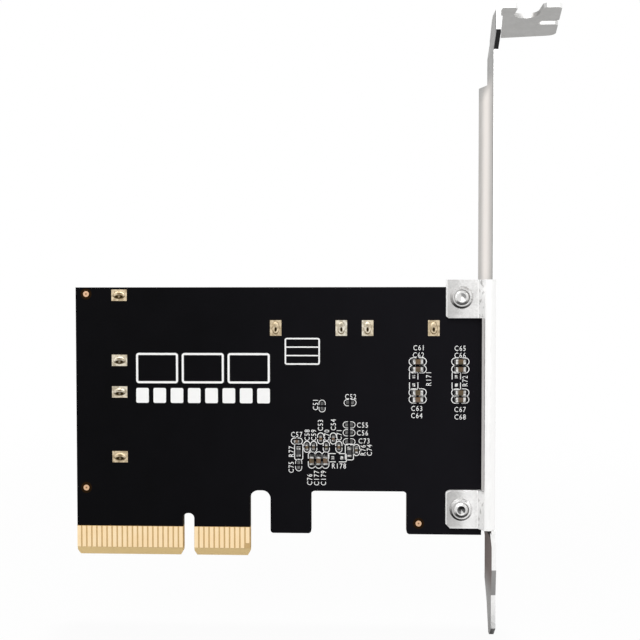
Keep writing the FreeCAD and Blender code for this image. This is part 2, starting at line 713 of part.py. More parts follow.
# Ports. Each is drawn with X across, Y out of its mouth and Z off the board, from the middle
# of its board locks, and then turned to its edge of the card.
sideways_turn = FreeCAD.Rotation(
    FreeCAD.Vector(0, 0, -1), FreeCAD.Vector(-1, 0, 0), FreeCAD.Vector(0, 1, 0), "XYZ")
upward_turn = FreeCAD.Rotation(
    FreeCAD.Vector(-1, 0, 0), FreeCAD.Vector(0, 0, 1), FreeCAD.Vector(0, 1, 0), "XYZ")


def seat(body, port_x, port_z, sideways):
    """Put a port's piece on the component face, facing its edge of the card."""
    body.Placement = FreeCAD.Placement(
        FreeCAD.Vector(), sideways_turn if sideways else upward_turn)
    bind(body, "Placement.Base.x", port_x)
    bind(body, "Placement.Base.y", size.board_half)
    bind(body, "Placement.Base.z", port_z)


cavity_end = size.port_front - size.cavity_depth
cavity_low = size.port_floor
cavity_half = size.port_width * 0.5 - size.port_side
blade_tip = size.port_front - size.blade_inset
blade_high = size.blade_low + size.blade_thick
groove_high = size.blade_low + size.contact_sunk
groove_low = groove_high - size.contact_thick
outer_contact = size.contact_pitch * -3
for number, (port_x, port_z, sideways) in enumerate(ports, 1):
    housing = new_body(f"sata_port_{number}_housing")
    block = new_sketch(housing, "XZ_Plane", -size.port_front)
    half_width = size.port_width * 0.5
    rectangle(block, -half_width, 0, half_width, size.port_height)
    pad(housing, block, size.port_front + size.port_back)
    top_edges = [(-half_width, size.port_height), (half_width, size.port_height)]
    chamfer(housing, 1, top_edges, size.housing_edge)
    cavity = new_sketch(housing, "XZ_Plane", -size.port_front)
    rectangle(cavity, -cavity_half, cavity_low, cavity_half, cavity_low + size.cavity_height)
    pocket(housing, cavity, size.cavity_depth, True)
    lead = []
    for index, edge in enumerate(housing.Shape.Edges, 1):
        box = edge.BoundBox
        inside = box.XMax < cavity_half.value + 0.01 and box.XMin > -cavity_half.value - 0.01
        off_floor = box.ZMin > cavity_low.value - 0.01
        under_roof = box.ZMax < cavity_low.value + size.cavity_height.value + 0.01
        if inside and off_floor and under_roof and box.YMin > size.port_front.value - 0.01:
            lead.append(f"Edge{index}")
    soften(housing, "Chamfer", "Size", lead, size.mouth_chamfer)
    blade_face = new_sketch(housing, "XZ_Plane", -cavity_end)
    polygon(blade_face, [
        (-size.blade_left, size.blade_low),
        (size.blade_right - size.blade_thick, size.blade_low),
        (size.blade_right - size.blade_thick, size.blade_low - size.blade_key),
        (size.blade_right, size.blade_low - size.blade_key),
        (size.blade_right, blade_high),
        (-size.blade_left, blade_high),
    ])
    pad(housing, blade_face, blade_tip - cavity_end, True)
    window = new_sketch(housing, "XY_Plane", size.port_height + 1)
    window_front = size.port_front - size.window_near
    rectangle(window, -size.window_half, window_front - size.window_depth,
              size.window_half, window_front)
    roof = size.port_height - cavity_low - size.cavity_height
    pocket(housing, window, roof + 1)
    channel = new_sketch(housing, "XZ_Plane", size.port_back)
    channel_half = size.contact_width * 0.5 + size.contact_play
    rectangle(channel, outer_contact - channel_half, groove_low - size.contact_play,
              outer_contact + channel_half, groove_high + size.contact_play)
    groove = pocket(housing, channel, size.port_back + blade_tip - size.contact_tip + 0.05)
    repeat(housing, groove, "X_Axis", size.contact_pitch, size.contact_count)
    sockets = new_sketch(housing, "XY_Plane")
    for sign in (-0.5, 0.5):
        socket_long = (size.lock_half + size.contact_play) * 2
        socket_short = size.lock_thick + size.contact_play * 2
        centred(sockets, size.peg_span * sign, 0, socket_short, socket_long)
    pocket(housing, sockets, size.lock_rise + size.contact_play, True)
    seat(housing, port_x, port_z, sideways)

    contacts = new_body(f"sata_port_{number}_contacts")
    strip = new_sketch(contacts, "YZ_Plane", outer_contact - size.contact_width * 0.5)
    leg_front = -size.port_back - size.contact_leg
    leg_rear = leg_front - size.contact_thick
    foot_end = leg_rear - size.contact_foot
    contact_end = blade_tip - size.contact_tip
    polygon(strip, [
        (contact_end, groove_high),
        (leg_rear, groove_high),
        (leg_rear, size.contact_thick),
        (foot_end, size.contact_thick),
        (foot_end, 0),
        (leg_front, 0),
        (leg_front, groove_low),
        (contact_end, groove_low),
    ])
    spring = pad(contacts, strip, size.contact_width)
    repeat(contacts, spring, "X_Axis", size.contact_pitch, size.contact_count)
    chamfer(contacts, 0, [(leg_rear, groove_high)], size.contact_bend)
    seat(contacts, port_x, port_z, sideways)

    locks = new_body(f"sata_port_{number}_board_locks")
    fork = new_sketch(locks, "YZ_Plane", size.peg_span * -0.5 - size.lock_thick * 0.5)
    prong = size.lock_half - size.lock_taper
    polygon(fork, [
        (-size.lock_half, size.lock_rise),
        (-size.lock_half, size.lock_taper - size.lock_reach),
        (-prong, -size.lock_reach),
        (-size.lock_slit, -size.lock_reach),
        (-size.lock_slit, -size.lock_slit),
        (size.lock_slit, -size.lock_slit),
        (size.lock_slit, -size.lock_reach),
        (prong, -size.lock_reach),
        (size.lock_half, size.lock_taper - size.lock_reach),
        (size.lock_half, size.lock_rise),
    ])
    sheet_lock = pad(locks, fork, size.lock_thick)
    repeat(locks, sheet_lock, "X_Axis", size.peg_span, 2)
    seat(locks, port_x, port_z, sideways)

# Controller: a flat moulded package with terminals round its lower edge and a heat pad.
chip = new_body("controller_chip")
chip_plan = new_sketch(chip, "XZ_Plane", -size.board_half - size.chip_lift)
centred(chip_plan, size.chip_x, size.chip_z, size.chip_size, size.chip_size)
pad(chip, chip_plan, size.chip_rise - size.chip_lift, True)
chip_half = size.chip_size * 0.5
chip_top = size.board_half + size.chip_rise
rim_z = [(chip_top, size.chip_z - chip_half), (chip_top, size.chip_z + chip_half)]
rim_x = [(size.chip_x - chip_half, chip_top), (size.chip_x + chip_half, chip_top)]
rim_names = edges_along(chip, 0, rim_z) + edges_along(chip, 2, rim_x)
soften(chip, "Chamfer", "Size", rim_names, size.chip_edge)
lands = new_body("controller_terminals")
row_half = size.terminal_pitch * ((size.terminal_count.value - 1) * 0.5)
row_out = chip_half + size.terminal_out - size.terminal_length * 0.5
for across in (True, False):
    ends = new_sketch(lands, "XZ_Plane", -size.board_half)
    for sign in (-1, 1):
        if across:
            centred(ends, size.chip_x - row_half, size.chip_z + row_out * sign,
                    size.terminal_width, size.terminal_length)
        else:
            centred(ends, size.chip_x + row_out * sign, size.chip_z - row_half,
                    size.terminal_length, size.terminal_width)
    rows = pad(lands, ends, size.chip_lift, True)
    repeat(lands, rows, "X_Axis" if across else "Z_Axis", size.terminal_pitch, size.terminal_count)
heat = new_sketch(lands, "XZ_Plane", -size.board_half)
centred(heat, size.chip_x, size.chip_z, size.heat_pad, size.heat_pad)
pad(lands, heat, size.chip_lift, True)


def block_part(label, face, places, long_x, long_z, low, high):
    """Equal flat-bottomed blocks on one face of the board (1 solder side, -1 component side)."""
    body = new_body(label)
    for place_x, place_z in places:
        plan_sketch = new_sketch(body, "XZ_Plane", (size.board_half + low) * face)
        centred(plan_sketch, place_x, place_z, long_x, long_z)
        pad(body, plan_sketch, as_term(high) - low, face < 0)
    return body


def chip_parts(label, face, rows, length, width, height, end):
    """Two-terminal parts in rows: bodies in one node and their tinned ends in another."""
    bodies = new_body(label)
    caps = new_body(f"{label}_ends")
    gap = length - 2 * end
    reach = (gap + end) * 0.5
    for first_x, first_z, upright, role, pitch, count in rows:
        body_plan = new_sketch(bodies, "XZ_Plane", size.board_half * face)
        cap_plan = new_sketch(caps, "XZ_Plane", size.board_half * face)
        across = (width, gap) if upright else (gap, width)
        centred(body_plan, first_x, first_z, *across)
        for sign in (-reach, reach):
            if upright:
                centred(cap_plan, first_x, first_z + sign, width, end)
            else:
                centred(cap_plan, first_x + sign, first_z, end, width)
        for body, plan_sketch in ((bodies, body_plan), (caps, cap_plan)):
            first = pad(body, plan_sketch, height, face < 0)
            if count > 1:
                repeat(body, first, role, pitch, count)


def gull_wings(label, centre_x, centre_z, reach, lift, pitch, count, width):
    """Two rows of bent leads along X, on the low and the high side of a package."""
    body = new_body(label)
    steel = 0.18
    first = centre_x - pitch * (count - 1) * 0.5 - width * 0.5
    for sign in (-1, 1):
        lead = new_sketch(body, "YZ_Plane", first)
        rise = size.board_half + lift
        polygon(lead, [
            (rise, centre_z + sign * (reach - 1.0)),
            (rise, centre_z + sign * (reach - 0.55)),
            (size.board_half, centre_z + sign * (reach - 0.5)),
            (size.board_half, centre_z + sign * reach),
            (size.board_half + steel, centre_z + sign * reach),
            (size.board_half + steel, centre_z + sign * (reach - 0.36)),
            (rise + steel, centre_z + sign * (reach - 0.41)),
            (rise + steel, centre_z + sign * (reach - 1.0)),
        ])
        wing = pad(body, lead, width)
        repeat(body, wing, "X_Axis", pitch, count)


# Solder side: coupling and bypass capacitors, resistors and unfitted places. Each row gives
# its first part's centre, whether that stands upright, and the row's direction, pitch and count.
coupling = [(44.27, row, False, "X_Axis", 8.11, 2) for row in (37.83, 36.38, 31.9, 30.58)]
chip_parts("coupling_capacitors", 1, coupling, 1.9, 0.9, 0.75, 0.45)
bypass = [
    (21.08, 22.42, False, "X_Axis", 1, 1),
    (23.04, 21.32, True, "X_Axis", 1.3, 2),
    (26.77, 21.36, True, "X_Axis", 2.42, 2),
    (25.69, 22.97, True, "X_Axis", 2.41, 2),
    (32.56, 20.77, True, "X_Axis", 1, 1),
]
chip_parts("bypass_capacitors", 1, bypass, 1.0, 0.5, 0.5, 0.25)
chip_parts("bulk_capacitors", 1, [(23.97, 18.78, True, "X_Axis", 1.32, 3)], 1.6, 0.8, 0.8, 0.35)
series = [(21.44, 20.37, True, "X_Axis", 9.77, 2)]
chip_parts("series_resistors", 1, series, 1.6, 0.8, 0.45, 0.3)
spare = new_body("spare_pads")
unfitted = [
    (21.44, 17.3, "Z_Axis", 1.0), (30.65, 25.61, "X_Axis", 1.0), (30.65, 24.08, "X_Axis", 1.0),
    (30.65, 22.34, "X_Axis", 1.0), (28.02, 19.25, "X_Axis", 1.73), (25.96, 28.73, "Z_Axis", 1.0),
    (30.84, 29.89, "X_Axis", 1.0),
]
unfitted += [(column, 33.35, "Z_Axis", 1.6) for column in (43.51, 51.62)]
for spare_x, spare_z, role, pitch in unfitted:
    spare_plan = new_sketch(spare, "XZ_Plane", size.board_half)
    centred(spare_plan, spare_x, spare_z, 0.55, 0.6)
    repeat(spare, pad(spare, spare_plan, size.plating), role, pitch, 2)

# Component side: clock, memory, supply and the small parts round the controller.
block_part("crystal_base", -1, [(15.5, 20.0)], 3.2, 2.5, 0, 0.35)
crystal_can = block_part("crystal_can", -1, [(15.5, 20.0)], 2.9, 2.2, as_term(0.35), 0.8)
can_corners = [(14.05, 18.9), (14.05, 21.1), (16.95, 18.9), (16.95, 21.1)]
chamfer(crystal_can, 1, can_corners, as_term(0.3))
flash = block_part("flash_memory_body", -1, [(11.0, 29.0)], 4.9, 3.9, as_term(0.12), 1.6)
flash_top = size.board_half + 1.6
chamfer(flash, 0, [(flash_top, 27.05), (flash_top, 30.95)], as_term(0.25))
gull_wings("flash_memory_leads", 11.0, 29.0, 2.95, 0.62, 1.27, 4, 0.42)
core = block_part("power_inductor_core", -1, [(47.2, 27.6)], 4.1, 4.1, as_term(0.1), 2.1)
core_corners = [(x, z) for x in (45.15, 49.25) for z in (25.55, 29.65)]
chamfer(core, 1, core_corners, as_term(0.7))
block_part("power_inductor_terminals", -1, [(45.65, 27.6), (48.75, 27.6)], 0.9, 2.6, 0, as_term(0.1))
switcher = block_part("switching_regulator_body", -1, [(40.8, 27.4)], 2.9, 1.6, as_term(0.1), 1.1)
switcher_top = size.board_half + 1.1
chamfer(switcher, 0, [(switcher_top, 26.6), (switcher_top, 28.2)], as_term(0.15))
gull_wings("switching_regulator_leads", 40.8, 27.4, 1.8, 0.42, 0.95, 3, 0.4)
linear = block_part("linear_regulator_body", -1, [(40.8, 19.2)], 2.9, 1.6, as_term(0.1), 1.1)
chamfer(linear, 0, [(switcher_top, 18.4), (switcher_top, 20.0)], as_term(0.15))
gull_wings("linear_regulator_leads", 40.8, 19.2, 1.8, 0.42, 1.9, 2, 0.4)
chip_parts("filter_capacitors", -1, [(37.2, 23.3, True, "X_Axis", 1.6, 6)], 1.6, 0.8, 0.8, 0.35)
links = [(-4.0, first, False, "Z_Axis", 1.4, 4) for first in (42.0, 23.4)]
chip_parts("link_capacitors", -1, links, 1.0, 0.5, 0.5, 0.25)
bias = [(19.0, 17.0, False, "Z_Axis", 1.5, 4), (24.0, 27.6, True, "X_Axis", 1.5, 5)]
chip_parts("bias_resistors", -1, bias, 1.0, 0.5, 0.35, 0.2)

doc.recompute()
os.makedirs("parts", exist_ok=True)
for item in doc.Objects:
    if "Invalid" in item.State or "Error" in item.State:
        raise RuntimeError(f"{item.Label} failed to build")
for body in nodes:
    shape = body.Shape
    if shape.isNull() or not shape.isValid() or not shape.Solids:
        raise RuntimeError(f"{body.Label} has no valid shape")
for body in nodes:
    body.Shape.exportStep(f"parts/{body.Label}.step")
print(f"{len(nodes)} sub-parts written")
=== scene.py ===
import json
import math

import bmesh
import bpy
import numpy as np
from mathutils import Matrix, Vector

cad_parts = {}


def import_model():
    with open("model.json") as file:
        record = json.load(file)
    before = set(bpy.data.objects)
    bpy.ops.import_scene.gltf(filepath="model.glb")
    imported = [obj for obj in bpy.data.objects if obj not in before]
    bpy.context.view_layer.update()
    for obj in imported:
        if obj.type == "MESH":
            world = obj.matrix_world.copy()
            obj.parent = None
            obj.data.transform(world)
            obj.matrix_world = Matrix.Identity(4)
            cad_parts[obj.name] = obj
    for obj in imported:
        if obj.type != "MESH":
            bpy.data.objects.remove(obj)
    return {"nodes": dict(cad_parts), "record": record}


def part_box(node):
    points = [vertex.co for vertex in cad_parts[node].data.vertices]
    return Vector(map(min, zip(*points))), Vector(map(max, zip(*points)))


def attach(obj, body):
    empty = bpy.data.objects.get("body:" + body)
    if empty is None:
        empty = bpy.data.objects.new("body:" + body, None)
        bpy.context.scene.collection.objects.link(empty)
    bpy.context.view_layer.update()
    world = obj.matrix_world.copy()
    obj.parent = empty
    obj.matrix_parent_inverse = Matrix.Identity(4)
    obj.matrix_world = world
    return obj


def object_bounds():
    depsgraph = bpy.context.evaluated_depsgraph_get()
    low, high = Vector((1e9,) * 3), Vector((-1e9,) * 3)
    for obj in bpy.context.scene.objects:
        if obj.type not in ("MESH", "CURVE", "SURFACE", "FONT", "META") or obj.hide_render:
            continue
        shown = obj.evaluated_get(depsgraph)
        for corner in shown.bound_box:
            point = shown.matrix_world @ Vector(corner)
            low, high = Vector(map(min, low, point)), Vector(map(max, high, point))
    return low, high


# Looks of the storage controller card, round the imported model. The frame is the model's own:
# +X towards the bracket, +Z up the card, the solder side faces -Y. Lengths are in millimetres,
# and in metres where Blender or the frame takes them.

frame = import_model()
cad_box = [list(corner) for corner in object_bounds()]
MM = 0.001
# Sides of the board, as the sign of the Y that they face.
SOLDER, COMPONENT = -1, 1

# Heights from the board's face: printed ink, copper under the mask, and a foot sunk into the face.
INK = 0.025
COPPER = 0.035
SUNK = -0.004

# Widths of printed lines: round parts and unfitted places, of the panel, the stamp field and its rules.
INK_LINE = 0.16
SPARE_LINE = 0.12
PANEL_LINE = 0.42
STAMP_LINE = 0.3
RULE_LINE = 0.25
# Share of a printed line that is flat on top, and the distance below which two points are one.
FLAT_SHARE = 0.92
SAME_POINT = 1e-6

# Letters: height, and factors on the font's width and spacing.
LETTER = 1.0
LETTER_WIDTH = 0.82
LETTER_SPACE = 1.2

# Legend of the solder side: text, centre (X, Z) and turn in degrees.
SOLDER_LEGEND = [
    ("C61", 44.40, 40.48, 0), ("C62", 44.40, 39.10, 0), ("C63", 44.10, 28.84, 0), ("C64", 44.10, 27.46, 0),
    ("R171", 46.36, 34.50, 90),
    ("C65", 52.32, 40.38, 0), ("C66", 52.32, 39.05, 0), ("C67", 52.36, 28.68, 0), ("C68", 52.36, 27.24, 0),
    ("R72", 53.27, 34.13, 90),
    ("C51", 24.70, 29.40, 90), ("C52", 31.45, 31.05, 0), ("C53", 25.64, 25.50, 90),
    ("C54", 28.12, 25.62, 90), ("C55", 33.72, 25.58, 0), ("C56", 33.72, 24.07, 0),
    ("C57", 21.06, 23.70, 0), ("C58", 23.06, 23.58, 90), ("C59", 24.34, 23.58, 90),
    ("C70", 26.86, 23.58, 90), ("C71", 29.24, 23.58, 90), ("C73", 34.02, 22.52, 0),
    ("R76", 33.83, 20.74, 90), ("C74", 35.05, 20.75, 90), ("R77", 20.02, 20.40, 90),
    ("C75", 19.98, 17.34, 90), ("R178", 29.21, 17.66, 0), ("C76", 23.56, 14.98, 90),
    ("C177", 24.88, 15.30, 90), ("C179", 26.22, 15.30, 90),
]
# Outlines round two-terminal parts: node, length, width, corner and middle gap.
SOLDER_OUTLINES = [
    ("coupling_capacitors", 3.3, 1.44, 0.72, 0.55),
    ("bypass_capacitors", 2.15, 1.2, 0.6, 0.3),
    ("bulk_capacitors", 3.2, 1.34, 0.67, 0.5),
    ("series_resistors", 3.05, 1.58, 0.3, 0),
]
# Outlines of unfitted places, below a pad pitch and from it on: length past the pitch, width, corner,
# middle gap and line.
LARGE_PITCH = 1.3
SMALL_SPARE = (1.3, 1.2, 0.6, 0.45, SPARE_LINE)
LARGE_SPARE = (1.75, 1.6, 0.25, 0.6, INK_LINE)

COMPONENT_LEGEND = [
    ("J1", -6.4, 50.6, 0), ("J2", -6.4, 32.6, 0), ("J3", 16.4, 37.7, 0), ("J4", 34.0, 37.7, 0),
    ("U1", 34.0, 14.6, 0), ("U2", 11.0, 33.3, 0), ("Y1", 15.5, 17.5, 0), ("L1", 47.2, 31.2, 0),
    ("U3", 40.8, 30.5, 0), ("U4", 40.8, 16.2, 0),
]
COMPONENT_OUTLINES = [
    ("filter_capacitors", 2.6, 1.3, 0.3, 0.5),
    ("link_capacitors", 1.9, 1.1, 0.5, 0.3),
    ("bias_resistors", 1.9, 1.1, 0.2, 0.3),
]
# Boxes round larger parts: node and margin.
BODY_OUTLINES = [("flash_memory_body", 0.35), ("power_inductor_core", 0.45), ("crystal_base", 0.4)]
BODY_CORNER = 0.2
# Lines round the ports, open towards the board's edges.
PORT_OUTLINES = [
    [(-21.4, 36.05), (-7.95, 36.05), (-7.95, 51.6)],
    [(-21.4, 17.3), (-7.95, 17.3), (-7.95, 33.7), (-21.4, 33.7)],
    [(15.15, 51.6), (15.15, 38.8), (31.55, 38.8), (31.55, 51.6)],
    [(32.8, 51.6), (32.8, 38.8), (49.2, 38.8), (49.2, 51.6)],
]

# Write-on fields: left, low, right and high side, then how each is divided and its corners.
PANEL_CELLS = (-10.1, 29.7, 15.9, 32.6)
CELL_COUNT, CELL_GAP, CELL_CORNER = 8, 0.9, 0.3
PANEL_BOXES = (-10.1, 33.5, 15.9, 39.4)
BOX_COUNT, BOX_GAP, BOX_CORNER = 3, 0.7, 0.35
STAMP_BOX = (18.9, 37.3, 25.4, 42.2)
STAMP_ROWS, STAMP_CORNER, RULE_INSET = 3, 0.3, 0.1

# Solder fillets: reach from a part's end, spread past its sides, start within it, the share of its height
# that they climb, and the film that they thin out to.
FILLET, FILLET_SPREAD, FILLET_START, FILLET_CLIMB = 0.22, 0.04, 0.03, 0.72
SOLDER_FILM = 0.012
# Solder cushions: margin round a lead's foot, the height up to which a lead is foot, and their rise.
CUSHION, FOOT_HEIGHT, CUSHION_RISE = 0.22, 0.3, 0.16
# Points along each side of a fillet or cushion.
SOLDER_GRID = 7
# Solder pools in the board lock slots: half length and width, levels, innermost ring, rings and spokes.
POOL_LONG, POOL_WIDE = 1.22, 0.74
POOL_BASE, POOL_DIP, POOL_RISE = 0.02, 0.07, 0.45
POOL_INNER, POOL_RINGS, POOL_SPOKES = 0.12, 8, 20

# Tracks under the mask: widths of signals, lanes, supply fingers, coil and supply, and run of their sides.
TRACK, LANE_TRACK, FINGER_TRACK, COIL_TRACK, SUPPLY_TRACK = 0.26, 0.2, 0.5, 1.2, 0.9
TRACK_SLOPE = 0.05
# Covered holes: radius and height from the rim to the dimple, sides, and distance past a stub's end.
VIA_PROFILE = [(0.30, SUNK), (0.26, COPPER), (0.13, COPPER), (0.08, 0.012)]
VIA_SIDES = 12
VIA_PAST = 0.2

# Port tracks: contacts counted from a port's middle, and places where tracks start, turn and end.
CONTACT_PITCH = 1.27
SIGNALS, GROUNDS, ALL_CONTACTS = (-2, -1, 1, 2), (-3, 0, 3), range(-3, 4)
SIDE_FEET, SIDE_TURNS, SIDE_STUB = -8.5, (-7.2, -6.6), -7.5
LINK_LEFT, LINK_RIGHT, LINK_PITCH = -4.6, -3.4, 1.4
BUNDLE_START, BUNDLE_COLUMN, BUNDLE_PITCH = -2.4, 21.5, 0.45
BUNDLE_BEND, BUNDLE_SLANT = 1.5, (26.8, 25.8)
TOP_FEET, TOP_STUB, TOP_STEP = 39.4, 37.9, 0.8
# Side ports: housing, lowest link capacitor (Z), lowest track (Z), and whether the bundle turns down.
SIDE_PORTS = [("sata_port_1_housing", 42.0, 35.6, True), ("sata_port_2_housing", 23.4, 22.4, False)]
TOP_PORTS = ["sata_port_3_housing", "sata_port_4_housing"]

# Controller tracks: where they meet the chip and the fingers, and the lanes' places, levels and columns.
CHIP_LEFT, CHIP_RIGHT, CHIP_LOW, CHIP_TOP = 22.2, 31.6, 15.6, 24.85
FINGER_TOP = 5.7
LANE_FINGERS = (-3.5, -4.5, -8.5, -9.5, -12.5, -13.5, -16.5, -17.5)
LANE_LEVEL, LANE_PITCH, LANE_COLUMN, LANE_STEP, LANE_BEND = 13.3, 0.26, 27.5, 0.6, 0.3
# Bias resistors: half of one with its ends, bend of its track, length of its stub, run past CHIP_LEFT.
BIAS_REACH, BIAS_BEND, BIAS_STUB, BIAS_PAST = 0.6, 0.6, 0.9, 0.1
# Other tracks: clock, a fan of stubs on the chip's right, memory, supply fingers, coil and supply.
CLOCK_TRACKS = [[(17.2, 19.3), (17.7, 19.3), (18.4, 18.6)], [(17.2, 20.7), (17.7, 20.7), (18.4, 20.0)]]
FAN_LOW, FAN_COUNT, FAN_END, FAN_STEP = 16.6, 8, 33.2, 0.9
MEMORY_FEET, MEMORY_TOP, MEMORY_STUB = (9.1, 10.37, 11.63, 12.9), 26.0, 25.1
SUPPLY_FINGERS, SUPPLY_STUB = (9.5, 10.5, 11.5), 7.3
COIL_PATH = [(42.3, 27.4), (45.1, 27.6)]
SUPPLY_LEVELS, SUPPLY_LEFT, SUPPLY_RIGHT = (24.55, 22.0), 36.8, 46.0

# Camera: place in millimetres, turn in degrees about X, Y and Z, lens on a 36 mm square, nearest view.
CAMERA_PLACE = (31.748, -162.841, 50.106)
CAMERA_TURN = (88.4707, 0.0335, 2.1840)
CAMERA_LENS = 47.558
CAMERA_SENSOR = 36.0
CAMERA_NEAR = 10.0

# Studio, in metres and watts: the point that the lamps look at, each lamp's name, place, size and power, the
# world's fill on matt faces, and the floor's reach, its drop below the card and its white near the card.
CARD_MIDDLE = (0.03, 0.0, 0.04)
LAMPS = [
    ("key_light", (-0.10, -0.50, 0.50), (0.7, 0.5), 3.6),
    ("left_light", (-0.60, -0.05, 0.25), (0.5, 0.5), 0.5),
    ("back_light", (0.30, 0.50, 0.45), (0.6, 0.5), 2.2),
]
WORLD_FILL = 0.45
FLOOR_REACH = 6.0
FLOOR_DROP = 0.0002
FLOOR_GLOW = 0.965
WHITE = (1.0, 1.0, 1.0, 1.0)


def corner_places(mesh):
    """Corner places of a mesh."""
    spots = np.empty(len(mesh.vertices) * 3)
    mesh.vertices.foreach_get("co", spots)
    return spots.reshape(-1, 3)


def solids(node):
    """Corner places in millimetres of a node's separate solids: each triangle spreads its lowest corner
    number to its three corners until nothing changes, and corners that share a number are one solid."""
    mesh = frame["nodes"][node].data
    places, merged = np.unique(corner_places(mesh).round(7) / MM, axis=0, return_inverse=True)
    loops = np.empty(len(mesh.loops), int)
    mesh.loops.foreach_get("vertex_index", loops)
    triangles = merged.reshape(-1)[loops].reshape(-1, 3)
    label = np.arange(len(places))
    while True:
        spread = label.copy()
        np.minimum.at(spread, triangles, label[triangles].min(1)[:, None])
        if (spread == label).all():
            break
        label = spread
    return [places[label == number] for number in np.unique(label)]


def boxes(node):
    """Lowest and highest corners of a node's solids."""
    return [(places.min(0), places.max(0)) for places in solids(node)]


def middles(node):
    """Centres (X, Z) of a node's solids."""
    return np.array([(low + high)[[0, 2]] / 2 for low, high in boxes(node)])


class Wire:
    """One shader value. Arithmetic on wires adds Math nodes to the finish that they belong to."""

    def __init__(self, finish, socket):
        self.finish = finish
        self.socket = socket

    def join(self, operation, first, second):
        return self.finish.node("ShaderNodeMath", {"operation": operation}, {0: first, 1: second})

    def __add__(self, other):
        return self.join("ADD", self, other)

    def __sub__(self, other):
        return self.join("SUBTRACT", self, other)

    def __rsub__(self, other):
        return self.join("SUBTRACT", other, self)

    def __mul__(self, other):
        return self.join("MULTIPLY", self, other)

    def __gt__(self, other):
        return self.join("GREATER_THAN", self, other)

    def __lt__(self, other):
        return self.join("LESS_THAN", self, other)

    def __abs__(self):
        return self.join("ABSOLUTE", self, 0)

    __radd__ = __add__
    __rmul__ = __mul__


